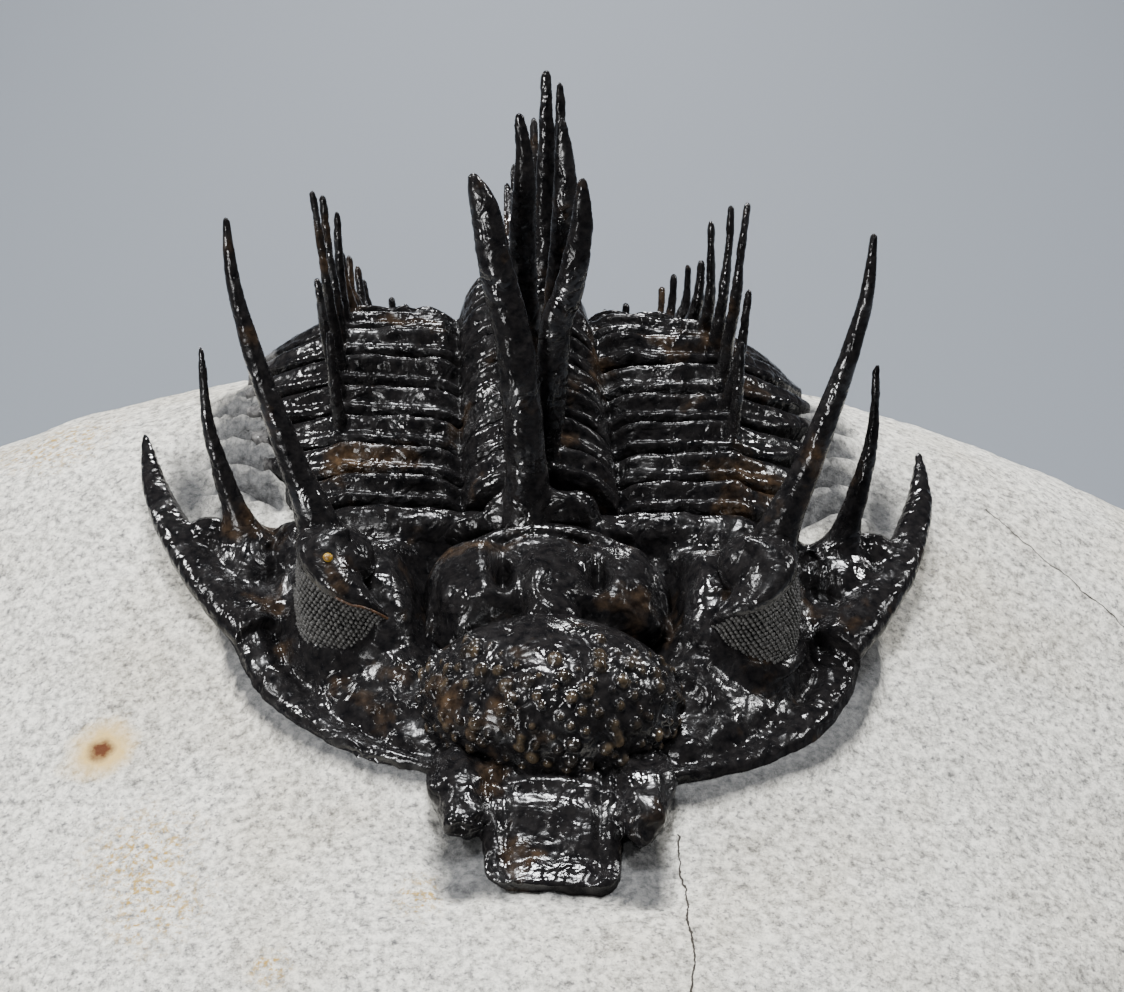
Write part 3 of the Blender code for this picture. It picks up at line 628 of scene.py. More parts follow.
EYE_PROFILE = (
    (0.6, 4.35), (2.2, 4.0), (2.8, 3.4), (3.2, 3.32), (4.6, 3.4), (6.3, 3.12), (6.7, 3.3), (7.3, 3.32),
    (7.75, 2.9), (8.15, 1.6), (8.3, 0.05),
)
EYE_SPINE = (
    (12.8, -6.2, 6.4, 1.4), (14.0, -5.4, 10.2, 1.12), (14.95, -4.7, 12.4, 0.92), (16.4, -3.5, 16.3, 0.74),
    (17.7, -2.3, 20.2, 0.58), (18.6, -1.3, 23.8, 0.44), (18.95, 0.0, 27.2, 0.1),
)


def turret(side):
    obj = ball(72, 60)
    for vertex in obj.data.vertices:
        t = (vertex.co.z + 1) / 2
        reach = t * (len(EYE_PROFILE) - 1)
        z = through([(i, p[0]) for i, p in enumerate(EYE_PROFILE)], reach)
        radius = through([(i, p[1]) for i, p in enumerate(EYE_PROFILE)], reach) * min(1.0, 12 * t)
        turn = math.atan2(vertex.co.y, vertex.co.x)
        z = eye_lift(z, math.cos(turn))
        x, y = EYE_CENTRE[0] + radius * math.cos(turn), EYE_CENTRE[1] + radius * math.sin(turn)
        vertex.co = placed(side * x, y, z)
    face_outwards(obj)
    return obj


eyes = []
for side, name in ((-1, "left_eye"), (1, "right_eye")):
    spine = horn(EYE_SPINE, side, depth=0.9, drift=0.5, flare=1.1, rings=90)
    shoulder = lobe((side * 12.4, -6.7, 7.6), (2.2, 2.2, 1.9))
    eyes.append(grow_together(name, [turret(side), shoulder, spine], 0.12, 3, 0.12, 0.06))

# %% Rows of lenses
LENS_ROWS, LENS_COLUMNS = 15, 46
LENS_LOW, LENS_HIGH = 2.9, 6.75
LENS_SIZE = 0.155
LENS_FIRST, LENS_SWEEP = -165, 235


def lens_field(side, name):
    seed = ball(8, 4)
    seed_mesh = seed.data
    shape = bmesh.new()
    for row in range(LENS_ROWS):
        z = LENS_LOW + (LENS_HIGH - LENS_LOW) * row / (LENS_ROWS - 1)
        radius = through(((2.8, 3.36), (3.2, 3.34), (4.6, 3.44), (6.3, 3.18), (6.7, 3.2)), z)
        for k in range(LENS_COLUMNS):
            turn = math.radians(LENS_FIRST + LENS_SWEEP * (k + 0.5 * (row % 2)) / LENS_COLUMNS)
            before = len(shape.verts)
            shape.from_mesh(seed_mesh)
            shape.verts.ensure_lookup_table()
            lifted = eye_lift(z, math.cos(turn)) + random.uniform(-0.04, 0.04)
            size = LENS_SIZE * random.uniform(0.85, 1.2)
            centre = (EYE_CENTRE[0] + radius * math.cos(turn), EYE_CENTRE[1] + radius * math.sin(turn), lifted)
            for vertex in shape.verts[before:]:
                x, y, up = (c + size * d for c, d in zip(centre, vertex.co))
                vertex.co = placed(side * x, y, up)
    bpy.data.objects.remove(seed)
    mesh = bpy.data.meshes.new(name)
    bmesh.ops.recalc_face_normals(shape, faces=shape.faces)
    shape.to_mesh(mesh)
    shape.free()
    obj = bpy.data.objects.new(name, mesh)
    bpy.context.scene.collection.objects.link(obj)
    mesh.shade_smooth()
    print(name, "lenses:", LENS_ROWS * LENS_COLUMNS, "triangles:", triangles(obj))
    return obj


lens_fields = [lens_field(-1, "left_lenses"), lens_field(1, "right_lenses")]

# %% [markdown]
# A fine rusty seam runs along the upper edge of the left lens field and down its inner side. It is a thin thread
# laid on the rim, and a grain of amber sits above it, by the foot of the spine.

# %% Seam and amber grain
def stained_material(name, dark, light):
    made, nodes, links, surface = new_material(name)
    coords = nodes.new("ShaderNodeTexCoord").outputs["Object"]
    colour = ramp(nodes, links, noise(nodes, links, coords, 0.6), [(0.4, dark), (0.7, light)])
    links.new(colour, surface.inputs["Base Color"])
    surface.inputs["Roughness"].default_value = 0.35
    links.new(bump(nodes, links, noise(nodes, links, coords, 0.2), 0.05), surface.inputs["Normal"])
    return made


SEAM_WIDTH, SEAM_RADIUS, SEAM_HEIGHT = 0.08, 3.36, 6.95
seam_stations = []
for k in range(22):
    turn = math.radians(-72 - min(k, 14) * 6.2)
    level = SEAM_HEIGHT - 0.5 * max(k - 14, 0)
    x, y = EYE_CENTRE[0] + SEAM_RADIUS * math.cos(turn), EYE_CENTRE[1] + SEAM_RADIUS * math.sin(turn)
    seam_stations.append((x, y, eye_lift(level, math.cos(turn)), SEAM_WIDTH))
seam = horn(seam_stations, -1, depth=1.0, flare=0.0, segments=8, rings=80, thin=(0.0, 0.0, 1.0), tip=0.07)
seam.name = "left_eye_seam"
amber = lobe((-13.0, -8.9, 9.2), (0.3, 0.27, 0.27), 20, 14)
amber.name = "amber_grain"
seam.data.materials.append(stained_material("rusty seam", (0.02, 0.01, 0.006, 1), (0.07, 0.033, 0.014, 1)))
amber.data.materials.append(stained_material("amber", (0.12, 0.06, 0.008, 1), (0.5, 0.31, 0.015, 1)))
for grown in (seam, amber):
    only(grown)
    bpy.ops.object.shade_smooth()
    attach(grown, "root")
    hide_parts("head_shield")

# %% Dress the head
head_pieces = [(cheek_piece, SHELL), (glabella, WARTY_SHELL), (neck, SHELL)]
head_pieces += [(eye, SHELL) for eye in eyes] + [(field, LENSES) for field in lens_fields]
for piece, material in head_pieces:
    piece.data.materials.clear()
    piece.data.materials.append(material)
    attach(piece, "root")
    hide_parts("head_shield")

# %% [markdown]
# ## The thorax
# Eleven plates lie behind the head like the slats of a blind. Across each runs a raised band with a narrow
# groove in front of it, the middle third swells into a ring, and the ends bend down and back to points. A
# spine stands on each ring, and from the third plate back a thin one stands at each bend.

# %% Spines of the thorax
SEGMENTS, SEGMENT_PITCH, SEGMENT_GAP, THORAX_START = 11, 2.48, 0.3, 1.3
MEDIAN_SPINES = (
    (1.05, (0.5, 1.7, 13.0, 1.0), (0.95, 2.4, 18.4, 0.97), (1.7, 2.8, 20.6, 0.88), (2.5, 3.5, 24.6, 0.73),
     (2.63, 4.1, 28.0, 0.3)),
    (1.05, (-0.5, 4.1, 14.0, 1.0), (-0.86, 4.9, 19.0, 0.91), (-0.84, 5.7, 23.0, 0.82), (-0.65, 6.6, 26.9, 0.62),
     (-0.94, 7.5, 30.2, 0.3)),
    (1.0, (0.9, 6.6, 14.0, 0.95), (1.5, 7.4, 18.0, 0.9), (1.85, 8.3, 22.5, 0.8), (1.9, 9.2, 25.3, 0.67),
     (1.78, 10.0, 28.4, 0.3)),
    (0.95, (0.4, 9.2, 14.5, 0.85), (0.75, 10.1, 18.5, 0.75), (0.82, 11.0, 21.8, 0.61), (1.0, 12.0, 25.8, 0.52),
     (1.04, 13.0, 29.9, 0.3)),
    (0.9, (0.7, 11.6, 13.5, 0.75), (1.57, 13.2, 17.5, 0.61), (2.1, 15.6, 23.0, 0.42), (2.2, 17.0, 26.6, 0.2)),
    (0.85, (0.3, 14.8, 14.0, 0.66), (0.6, 17.2, 18.6, 0.42), (0.84, 20.0, 22.2, 0.2)),
    (0.75, (-0.3, 18.8, 13.6, 0.5), (-0.23, 22.5, 17.2, 0.2)),
    (0.7, (-0.4, 22.6, 11.6, 0.45), (-0.36, 26.0, 13.5, 0.2)),
    (0.65, (0.1, 25.6, 9.0, 0.4), (0.2, 28.4, 10.0, 0.2)),
    (0.6, (0.0, 27.4, 7.0, 0.36), (0.0, 30.0, 7.4, 0.2)),
    (0.55, (0.0, 29.2, 5.2, 0.32), (0.0, 31.8, 5.3, 0.2)),
)
SIDE_SPINES = {
    3: (0.42, (12.4, 7.1, 10.6, 0.34), (12.6, 7.6, 14.2, 0.08)),
    4: (0.42, (12.7, 9.3, 12.0, 0.34), (13.2, 9.7, 16.6, 0.08)),
    5: (0.45, (12.5, 11.4, 14.0, 0.38), (12.9, 11.8, 18.0, 0.28), (13.3, 12.3, 21.3, 0.07)),
    6: (0.45, (12.0, 13.9, 12.5, 0.38), (12.4, 14.4, 16.2, 0.28), (12.6, 15.1, 19.2, 0.07)),
    7: (0.42, (11.6, 16.6, 12.0, 0.34), (11.65, 17.5, 16.5, 0.07)),
    8: (0.4, (11.2, 19.3, 9.8, 0.32), (11.4, 20.0, 11.9, 0.07)),
    9: (0.38, (10.7, 21.5, 8.0, 0.28), (10.8, 22.2, 10.1, 0.07)),
    10: (0.34, (10.0, 23.6, 6.0, 0.26), (10.2, 24.4, 7.9, 0.07)),
    11: (0.32, (9.5, 25.4, 4.2, 0.22), (9.7, 26.3, 5.6, 0.07)),
}


def rooted(s, x, height, stations):
    roots = [(*over_body(s, x, height + above), stations[0]) for above in (-0.7, 0.4)]
    return (*roots, *stations[1:])


# %% One thorax plate
AXIS_HALF_WIDTH = ((0.0, 4.8), (10.0, 4.5), (20.0, 3.9), (28.0, 3.1), (40.5, 0.9))
PLEURA_TIP = ((0.0, 13.8), (4.0, 16.6), (9.0, 17.8), (16.0, 17.4), (24.0, 14.6), (28.0, 12.8))
TIP_SWEEP, TIP_THICKNESS = 2.6, 0.8
BAND = (
    (0.0, -0.35), (0.07, -0.02), (0.17, 0.2), (0.27, 0.05), (0.38, -0.16), (0.5, 0.02), (0.62, 0.4), (0.75, 0.5),
    (0.88, 0.22), (1.0, -0.35),
)


def thorax_point(start, length, u, v):
    """u runs across the whole plate and v from its front edge to its back edge."""
    s, middle = start + v * length, start + length / 2
    axis, bend, tip = (through(table, middle) for table in (AXIS_HALF_WIDTH, FULCRUM, PLEURA_TIP))
    side = 1 if u >= 0.5 else -1
    out = abs(2 * u - 1)
    along_band = Vector((side * out * 7.0, middle, 0.0))
    uneven = pattern.noise(along_band * 2.6 + Vector((0, v * 2, 9)))
    band = through(BAND, min(max(v + 0.06 * uneven, 0.0), 1.0)) * (1 + 0.6 * pattern.noise(along_band)) + 0.2 * uneven
    if out < 0.3:
        share = math.sin(out / 0.3 * math.pi / 2)
        height = AXIS_HEIGHT * math.sqrt(max(1 - share * share, 0.0))
        x, y, z = over_body(s, share * axis, height - 0.35 * share ** 6 + band * (1 - 0.5 * share ** 4))
    elif out < 0.68:
        w = (out - 0.3) / 0.38
        x = axis + (bend - axis) * w
        swell = 0.32 * smooth_step(0.0, 0.25, w)
        x, y, z = over_body(s, x, -0.35 + 0.35 * smooth_step(0.0, 0.12, w) + swell - 0.2 * w * w + band)
    else:
        w = (out - 0.68) / 0.32
        drawn_in = middle + (s - middle) * (1 - 0.75 * w * w)
        y, z, _ = body_path(drawn_in)
        x = bend + (tip - bend) * w
        y += TIP_SWEEP * w * w
        low = ground(x, y) + 0.4 + TIP_THICKNESS
        z = (z + 0.1 + band * (1 - w)) * (1 - w ** 1.15) + low * w ** 1.15
    return side * x, y, z


# %% All eleven plates
for number in range(1, SEGMENTS + 1):
    start = THORAX_START + (number - 1) * SEGMENT_PITCH
    length = SEGMENT_PITCH - SEGMENT_GAP
    slat = plate("slat", 150, 26, lambda u, v: thorax_point(start, length, u, v))
    middle = start + length / 2
    on_axis = rooted(middle, 0.0, AXIS_HEIGHT, MEDIAN_SPINES[number - 1])
    parts = [slat, horn(on_axis, depth=0.65, flare=0.25)]
    if number in SIDE_SPINES:
        at_bend = rooted(middle, through(FULCRUM, middle), 0.1, SIDE_SPINES[number])
        parts += [horn(at_bend, side, depth=1.0, flare=1.2, segments=14) for side in (-1, 1)]
    piece = grow_together(f"slat_{number:02d}", parts, 0.12, 3, 0.2, 0.14)
    piece.data.materials.clear()
    piece.data.materials.append(THORAX_SHELL)
    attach(piece, "root")
    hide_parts(f"thorax_segment_{number:02d}")

# %% [markdown]
# ## The tail shield
# The tail is a small half-moon of fused rings behind the thorax. Nobody can see it from the front, so it
# follows what is known of the animal: ribs, a tapering axis, flat spines that fan out round its edge.

# %% Tail plate
TAIL_START, TAIL_END = THORAX_START + SEGMENTS * SEGMENT_PITCH, 39.0
TAIL_HALF_WIDTH = ((28.5, 9.1), (30.5, 8.8), (33.0, 7.5), (35.5, 5.6), (37.7, 3.3), (39.0, 1.6))
TAIL_EDGE_SPINES = ((30.3, 4.2, 5.0), (32.0, 3.8, 5.5), (33.7, 3.0, 5.9), (35.3, 2.4, 6.1), (36.8, 1.8, 6.2))
TAIL_RIBS = 5


def tail_crest(s):
    return AXIS_HEIGHT * (1 - 0.65 * (s - TAIL_START) / (TAIL_END - TAIL_START))


def tail_point(u, v):
    s = TAIL_START + (TAIL_END - TAIL_START) * v
    rib = 0.24 * math.sin(v * TAIL_RIBS * 2 * math.pi - 1.2) - 0.3 * math.exp(-(v / 0.02) ** 2)
    axis, edge = through(AXIS_HALF_WIDTH, s), through(TAIL_HALF_WIDTH, s)
    side = 1 if u >= 0.5 else -1
    out = abs(2 * u - 1)
    if out < 0.4:
        share = math.sin(out / 0.4 * math.pi / 2)
        dome = tail_crest(s) * math.sqrt(max(1 - share * share, 0.0))
        x, y, z = over_body(s, share * axis, dome - 0.2 * share ** 6 + rib)
    else:
        w = (out - 0.4) / 0.6
        x, y, z = over_body(s, axis + (edge - axis) * w, -0.2 + 0.4 * smooth_step(0.0, 0.2, w) + rib * (1 - w))
        drop = smooth_step(0.35, 1.0, w)
        z = z * (1 - drop) + (ground(x, y) + 0.4 + TIP_THICKNESS) * drop
    return side * x, y, z


# %% Tail spines
def edge_spine(x, y, out, back):
    stations = []
    for share, width in ((-0.3, 0.75), (0.3, 0.7), (0.7, 0.45), (1.0, 0.2)):
        at_x, at_y = x + out * share, y + back * max(share, 0.0)
        stations.append((at_x, at_y, ground(at_x, at_y) + 1.15 + 0.35 * share, width))
    return stations


FLAT = {"depth": 0.6, "flare": 0.2, "thin": (0.0, 0.0, 1.0)}
tail_parts = [plate("tail", 130, 90, tail_point)]
for s, out, back in TAIL_EDGE_SPINES:
    edge, y, _ = over_body(s, through(TAIL_HALF_WIDTH, s), 0.0)
    tail_parts += [horn(edge_spine(edge, y, out, back), side, **FLAT) for side in (-1, 1)]
tail_parts.append(horn(edge_spine(0.0, over_body(TAIL_END, 0.0, 0.0)[1] - 1.5, 0.0, 8.5), **FLAT))
for s, x in ((30.2, 7.5), (32.8, 6.4)):
    _, y, z = over_body(s, x, 0.0)
    upright = ((x, y, z - 0.7, 0.34), (x + 0.1, y + 0.9, z + 1.0, 0.26), (x + 0.2, y + 1.6, z + 2.4, 0.2))
    tail_parts += [horn(upright, side, 1.0, segments=14, rings=24) for side in (-1, 1)]
for s in (30.2, 32.7, 35.2):
    _, y, z = over_body(s, 0.0, tail_crest(s) - 0.7)
    tail_parts.append(horn(((0.0, y, z, 0.5), (0.0, y + 2.0, z + 1.3, 0.3), (0.0, y + 3.6, z + 1.5, 0.2)), rings=24))
tail = grow_together("tail_fan", tail_parts, 0.14, 2, 0.12, 0.07)
tail.data.materials.clear()
tail.data.materials.append(THORAX_SHELL)
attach(tail, "root")
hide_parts("tail_shield")

# %% [markdown]
# ## The stone
# The block starts as a copy of its solid. Merging its doubled points closes it, a remesh in voxels gives it an
# even skin, and smoothing rounds its facets. Sculpting it by hand would not give the same rock twice, so three
# displacements do it: broad swells where the chisel took more or less away, dents between them, and the grain
# of broken limestone.

# %% The block
source = frame["nodes"]["limestone_matrix"]
block = source.copy()
block.data = source.data.copy()
block.name = "block"
bpy.context.scene.collection.objects.link(block)
only(block)
bpy.ops.object.mode_set(mode="EDIT")
bpy.ops.mesh.select_all(action="SELECT")
bpy.ops.mesh.remove_doubles(threshold=0.02 * MM)
bpy.ops.mesh.normals_make_consistent(inside=False)
bpy.ops.object.mode_set(mode="OBJECT")
apply_modifier(block, "REMESH", mode="VOXEL", voxel_size=0.62 * MM)
apply_modifier(block, "SMOOTH", factor=0.5, iterations=4)
STONE_SWELLS = clouds("stone swells", 9.0, 1)
STONE_DENTS = clouds("stone dents", 2.6, 2)
STONE_GRAIN = clouds("stone grain", 0.9, 2)
for texture, strength in ((STONE_SWELLS, 0.5), (STONE_DENTS, 0.3), (STONE_GRAIN, 0.22)):
    apply_modifier(block, "DISPLACE", texture=texture, texture_coords="LOCAL", mid_level=0.6, strength=strength * MM)
print("block triangles before carving:", triangles(block))

# %% [markdown]
# The last of the rock round the fossil was taken away with a fine point. That left a smooth ledge along
# the edge of the head, a hollow in front of the tongue, and fingers of rock between the tips of the thorax. The
# ledge and the hollow are painted grey, partly as worked rock and partly as painted shade, and the fingers and their
# gaps are painted darker as shadow.

# %% Carve the ledge, the hollow and the fingers
def outside_head(x, y):
    """Rough distance from the head's outline, measured outwards."""
    forward = max(HEAD_WIDEST_Y - y, 0.0) / HEAD_FRONT
    reach = ((abs(x) / HEAD_HALF_WIDTH) ** HEAD_POWER + forward ** HEAD_POWER) ** (1 / HEAD_POWER)
    return (reach - 1) * math.hypot(x, y - HEAD_WIDEST_Y)


FINGER_PITCH = 2.35


def carving(x, y):
    """Height to add and greyness at a point of the crown in the fossil's own frame.

    Greyness runs from 0, untouched rock, to 1, worked grey rock darkened with painted shade, and above 1 in the gaps
    between the fingers, where it is a painted shadow.
    """
    rise = grey_and_shade_share = 0.0
    beyond = outside_head(x, y)
    wide = 0.6 + 0.6 * pattern.noise(Vector((x * 0.2, y * 0.2, 2.0))) + (0.45 if x > 0 else 0.0)
    # The ledge is painted grey, partly as worked rock and partly as painted shade along the edge of the head.
    if y < 1.0 and abs(x) > 6.0 and beyond > -1.5:
        ledge = 1 - smooth_step(wide - 0.3, wide + 0.3, beyond)
        rise += 0.85 * ledge
        grey_and_shade_share = max(grey_and_shade_share, ledge)
    # The halo round the tongue's end is a dent painted grey, partly as worked rock and partly as painted shade in the
    # hollow.
    tongue_away = math.hypot(max(abs(x) - 5.5, 0.0), max(-y - 25.2, 0.0)) if y < -15.0 else 9.0
    tongue_away += 0.9 * pattern.noise(Vector((x * 0.45, y * 0.45, 9.0)))
    halo_dent_and_shade = 1 - smooth_step(0.2, 2.2, tongue_away)
    rise += 0.6 * (1 - smooth_step(0.1, 0.7, tongue_away)) - 0.45 * halo_dent_and_shade
    grey_and_shade_share = max(grey_and_shade_share, 0.8 * halo_dent_and_shade)
    # The fingers are painted grey as shade, and the gaps between them darker still, as painted shadow.
    if 3.0 < y < 18.0 and 14.5 < abs(x) < 22.0:
        phase = (y - 0.6 * (abs(x) - 16.0) - 3.2) / FINGER_PITCH
        finger = 0.5 + 0.5 * math.cos(2 * math.pi * phase)
        share = smooth_step(15.0, 16.5, abs(x)) * smooth_step(21.5, 18.5, abs(x))
        share *= smooth_step(3.0, 5.0, y) * smooth_step(18.0, 15.0, y)
        rise += (2.0 * finger ** 0.8 - 0.7) * share
        grey_and_shade_share = max(grey_and_shade_share, share * (0.6 + 1.2 * (1 - finger) ** 2))
    # The bay beside the tips is a dent painted grey as shade.
    shaded_bay = math.exp(-((abs(x) - 21.5) / 2.0) ** 2 - ((y - 7.0) / 4.0) ** 2)
    rise -= 0.5 * shaded_bay
    return rise, max(grey_and_shade_share, 0.75 * shaded_bay)


# This attribute carries the grey of worked rock together with painted shade and painted shadow.
worked = block.data.attributes.new("worked_grey_and_painted_shade", "FLOAT", "POINT")
for vertex, mark in zip(block.data.vertices, worked.data):
    y = vertex.co.y / MM - FOSSIL_Y
    x = vertex.co.x / MM - midline(y)
    on_crown = smooth_step(-3.0, -1.0, vertex.co.z / MM - FOSSIL_Z - stone_top(x + midline(y), y))
    rise, grey_and_shade_share = carving(x, y)
    vertex.co.z += rise * on_crown * MM
    mark.value = grey_and_shade_share * on_crown
    chipped = abs(pattern.noise(vertex.co / MM * 0.09)) * 2.6 + abs(pattern.noise(vertex.co / MM * 0.3)) * 0.9
    inwards = Vector((-vertex.co.x, -vertex.co.y, 0.0)).normalized()
    vertex.co += inwards * chipped * (1 - on_crown) * MM
    vertex.co.z = max(vertex.co.z, 0.0)
only(block)
bpy.ops.object.shade_smooth()
block.data.materials.clear()
marks = block.data.attributes["worked_grey_and_painted_shade"].data
# The count is of points painted grey as worked rock and shade.
print("block triangles:", triangles(block), "points worked smooth:", sum(mark.value > 0.5 for mark in marks))

# %% [markdown]
# Limestone is made of fine pale grains with darker specks of fossil shell. Iron in it has rusted into orange
# and yellow spots. Its worked parts are painted greyer, partly as worked rock and partly as painted shade, and the
# gaps between the rock fingers are painted near black as shadow. All of that is only colour, so it is mixed in the
# material, and the worked and shaded parts follow an attribute of the mesh.

# %% The limestone
def near(nodes, links, coords, x, y, reach, ragged=0.5):
    """1 at a point of the crown, given in the fossil's own frame, falling raggedly to 0 at reach millimetres."""
    place = Vector((x + midline(y), y + FOSSIL_Y, 0.0)) * MM
    flat = nodes.new("ShaderNodeMapping")
    flat.inputs["Location"].default_value = -place
    links.new(coords, flat.inputs["Vector"])
    squashed = nodes.new("ShaderNodeVectorMath")
    squashed.operation = "MULTIPLY"
    squashed.inputs[1].default_value = (1.0, 1.0, 0.0)
    links.new(flat.outputs["Vector"], squashed.inputs[0])
    length = nodes.new("ShaderNodeVectorMath")
    length.operation = "LENGTH"
    links.new(squashed.outputs["Vector"], length.inputs[0])
    shaken = maths(nodes, links, "MULTIPLY", noise(nodes, links, coords, reach * 0.7, 4.0, 0.7), ragged * 2)
    share = maths(nodes, links, "DIVIDE", length.outputs["Value"], reach * MM)
    left = maths(nodes, links, "SUBTRACT", maths(nodes, links, "SUBTRACT", 1.0 + ragged, share), shaken)
    clamp = nodes.new("ShaderNodeClamp")
    links.new(maths(nodes, links, "MULTIPLY", left, 1.6), clamp.inputs["Value"])
    return clamp.outputs["Result"]


def crack(nodes, links, coords, start, end, width):
    """A hairline along the crown from start to end, both in the fossil's own frame."""
    (x0, y0), (x1, y1) = ((x + midline(y), y + FOSSIL_Y) for x, y in (start, end))
    turn = math.atan2(y1 - y0, x1 - x0)
    length = math.hypot(x1 - x0, y1 - y0)
    along = nodes.new("ShaderNodeMapping")
    along.vector_type = "TEXTURE"
    along.inputs["Location"].default_value = (x0 * MM, y0 * MM, 0.0)
    along.inputs["Rotation"].default_value = (0.0, 0.0, turn)
    links.new(coords, along.inputs["Vector"])
    split = nodes.new("ShaderNodeSeparateXYZ")
    links.new(along.outputs["Vector"], split.inputs["Vector"])
    wander = maths(nodes, links, "SUBTRACT", noise(nodes, links, coords, 3.0, 5.0, 0.6), 0.5)
    off = maths(nodes, links, "ADD", split.outputs["Y"], maths(nodes, links, "MULTIPLY", wander, 1.6 * MM))
    away = maths(nodes, links, "DIVIDE", maths(nodes, links, "ABSOLUTE", off), width * MM)
    inside = maths(nodes, links, "LESS_THAN", away, 1.0)
    past = maths(nodes, links, "GREATER_THAN", split.outputs["X"], 0.0)
    before = maths(nodes, links, "LESS_THAN", split.outputs["X"], length * MM)
    return maths(nodes, links, "MULTIPLY", inside, maths(nodes, links, "MULTIPLY", past, before))


STAINS = ((-24.3, -21.0, 4.5), (-22.9, -25.5, 4.0), (-7.6, -26.6, 2.2), (-16.1, -31.2, 1.8), (-30.0, 16.0, 5.0))
RUST_SPOT = (-26.9, -12.2)
CRACKS = (((7.4, -20.8), (8.0, -28.0), 0.06), ((8.0, -28.0), (8.8, -44.0), 0.07), ((28.5, 10.2), (40.0, 2.6), 0.05))


def limestone():
    made, nodes, links, surface = new_material("pale limestone")
    coords = nodes.new("ShaderNodeTexCoord").outputs["Object"]
    grain = noise(nodes, links, coords, 0.55, 5.0, 0.75)
    broad = noise(nodes, links, coords, 12.0, 4.0)
    pale_stops = [(0.32, (0.13, 0.127, 0.12, 1)), (0.45, (0.44, 0.43, 0.39, 1)), (0.6, (0.80, 0.78, 0.71, 1))]
    pale = ramp(nodes, links, grain, pale_stops)
    warm = ramp(nodes, links, grain, [(0.32, (0.11, 0.10, 0.08, 1)), (0.62, (0.66, 0.61, 0.50, 1))])
    colour = mix(nodes, links, ramp(nodes, links, broad, [(0.45, grey(0.0)), (0.65, grey(0.6))]), pale, warm)
    specks = noise(nodes, links, coords, 0.3, 2.0, 0.5)
    specked = ramp(nodes, links, specks, [(0.59, grey(0.0)), (0.68, grey(0.6))])
    colour = mix(nodes, links, specked, colour, (0.05, 0.05, 0.06, 1))
    yellow = noise(nodes, links, coords, 0.4, 3.0, 0.7)
    for x, y, reach in STAINS:
        patch = near(nodes, links, coords, x, y, reach)
        spots = ramp(nodes, links, yellow, [(0.5, grey(0.0)), (0.62, grey(0.9))])
        spotted = maths(nodes, links, "MULTIPLY", spots, patch)
        colour = mix(nodes, links, spotted, colour, (0.36, 0.22, 0.025, 1))
    colour = mix(nodes, links, near(nodes, links, coords, *RUST_SPOT, 2.6), colour, (0.60, 0.42, 0.16, 1))
    colour = mix(nodes, links, near(nodes, links, coords, *RUST_SPOT, 1.05, 0.45), colour, (0.09, 0.028, 0.008, 1))
    # Painted shade: marked points are mixed towards a dark grey, partly the grey of worked rock and partly painted
    # shade.
    grey_and_shade_mark = nodes.new("ShaderNodeAttribute")
    grey_and_shade_mark.attribute_name = "worked_grey_and_painted_shade"
    worked_grey_and_shade = ramp(nodes, links, grain, [(0.3, (0.022, 0.023, 0.026, 1)), (0.7, (0.085, 0.087, 0.09, 1))])
    share = ramp(nodes, links, grey_and_shade_mark.outputs["Fac"], [(0.08, grey(0.0)), (0.7, grey(0.94))])
    colour = mix(nodes, links, share, colour, worked_grey_and_shade)
    # Painted shadow: in the gaps between the rock fingers the colour goes almost black.
    halved = maths(nodes, links, "MULTIPLY", grey_and_shade_mark.outputs["Fac"], 0.5)
    painted_gap_shadow = ramp(nodes, links, halved, [(0.52, grey(0.0)), (0.82, grey(0.95))])
    colour = mix(nodes, links, painted_gap_shadow, colour, (0.004, 0.004, 0.005, 1))
    height = noise(nodes, links, coords, 0.4, 5.0, 0.75)
    for start, end, width in CRACKS:
        line = crack(nodes, links, coords, start, end, width)
        colour = mix(nodes, links, line, colour, (0.035, 0.03, 0.025, 1))
        height = maths(nodes, links, "SUBTRACT", height, line)
    links.new(colour, surface.inputs["Base Color"])
    surface.inputs["Roughness"].default_value = 0.85
    surface.inputs["Specular IOR Level"].default_value = 0.25
    links.new(bump(nodes, links, height, 0.28, 0.9), surface.inputs["Normal"])
    return made


block.data.materials.append(limestone())
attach(block, "root")
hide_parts("limestone_matrix")

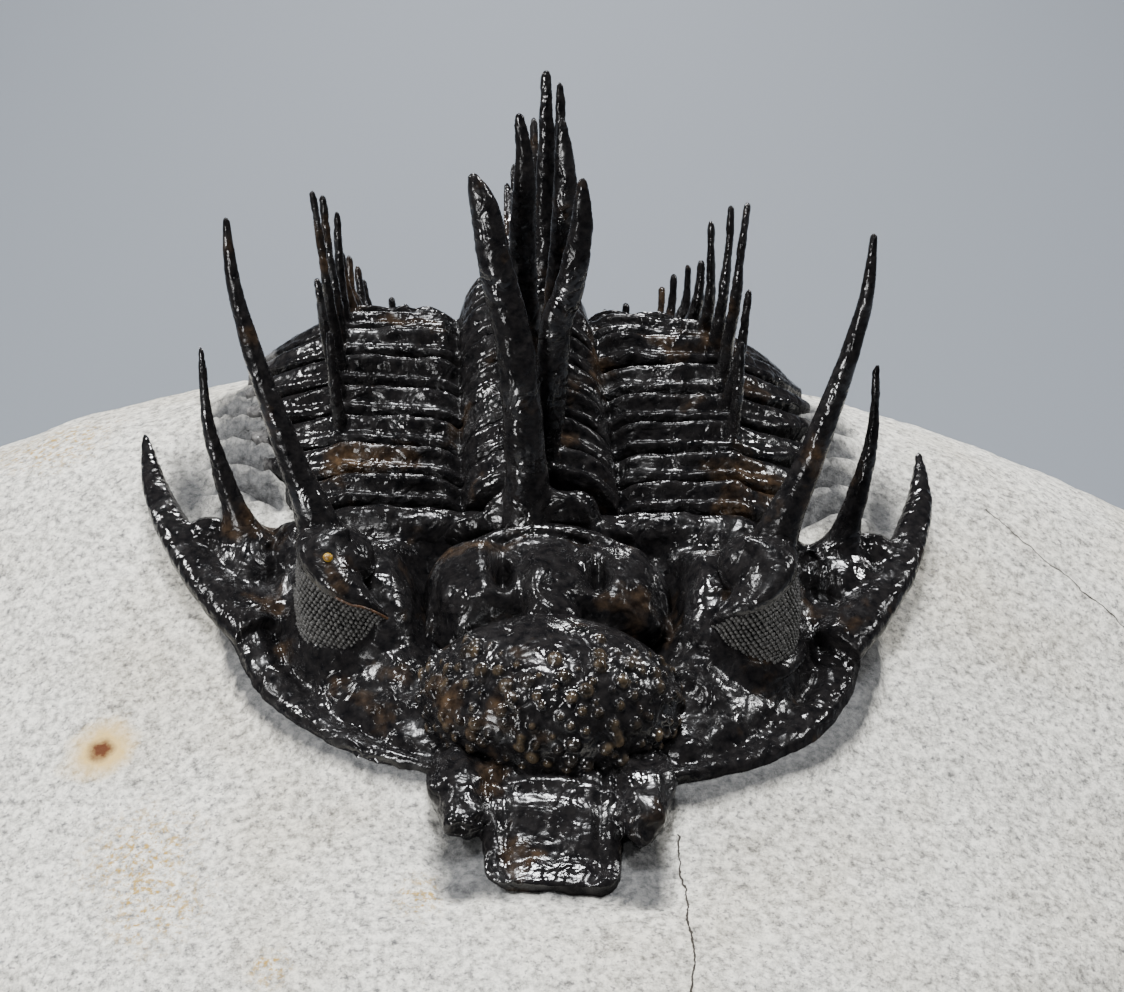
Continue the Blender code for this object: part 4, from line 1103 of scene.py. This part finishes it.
# %% [markdown]
# ## The table and the light
# The block stands on a plain pale table. A glossy black thing is seen almost only by what it mirrors: a big lamp
# would lay a grey veil over it, and small lamps make small bright sparks. So a small lamp hangs over the
# fossil, weaker ones stand left, right, in front and low in front, and a faint one shines on the table behind.

# %% Table
bpy.ops.object.select_all(action="DESELECT")
bpy.ops.mesh.primitive_plane_add(size=6.0)
table = bpy.context.object
table.name = "table"
paper, paper_nodes, paper_links, paper_surface = new_material("pale paper")
paper_surface.inputs["Base Color"].default_value = (0.105, 0.117, 0.135, 1)
paper_surface.inputs["Roughness"].default_value = 0.9
table.data.materials.append(paper)
print("table:", table.name)


# %% Lamps
FOSSIL = (0.0, -0.01, 0.04)


def lamp(name, place, aim, size, power, colour=(1.0, 1.0, 1.0), spread=50):
    data = bpy.data.lights.new(name, "AREA")
    data.shape = "RECTANGLE"
    data.size, data.size_y = size
    data.energy = power
    data.color = colour
    data.spread = math.radians(spread)
    made = bpy.data.objects.new(name, data)
    bpy.context.scene.collection.objects.link(made)
    made.location = Vector(place)
    made.rotation_euler = (Vector(aim) - Vector(place)).to_track_quat("-Z", "Y").to_euler()
    return made


lamp("overhead", (0.0, 0.10, 0.54), FOSSIL, (0.15, 0.08), 2.4, (0.97, 0.98, 1.0), 120)
lamp("left", (-0.42, 0.10, 0.34), FOSSIL, (0.09, 0.09), 0.28)
lamp("right", (0.44, 0.12, 0.32), FOSSIL, (0.08, 0.08), 0.22)
lamp("front", (-0.14, -0.40, 0.62), FOSSIL, (0.07, 0.07), 0.45, (1.0, 1.0, 1.0), 120)
lamp("low front", (-0.30, -0.52, 0.11), FOSSIL, (0.16, 0.16), 0.32)
lamp("glow behind", (0.0, 0.30, 0.12), (0.0, 0.11, 0.0), (0.04, 0.04), 0.10)
print("lamps:", len(bpy.data.lights))
world = bpy.data.worlds.new("studio")
bpy.context.scene.world = world
world.use_nodes = True
world.node_tree.nodes["Background"].inputs["Color"].default_value = (0.55, 0.6, 0.68, 1)
world.node_tree.nodes["Background"].inputs["Strength"].default_value = 0.035

# %% Count the triangles of the finer pieces
total = sum(triangles(o) for o in bpy.data.objects if o.type == "MESH" and "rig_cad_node" not in o)
print("triangles of all finer pieces:", total)
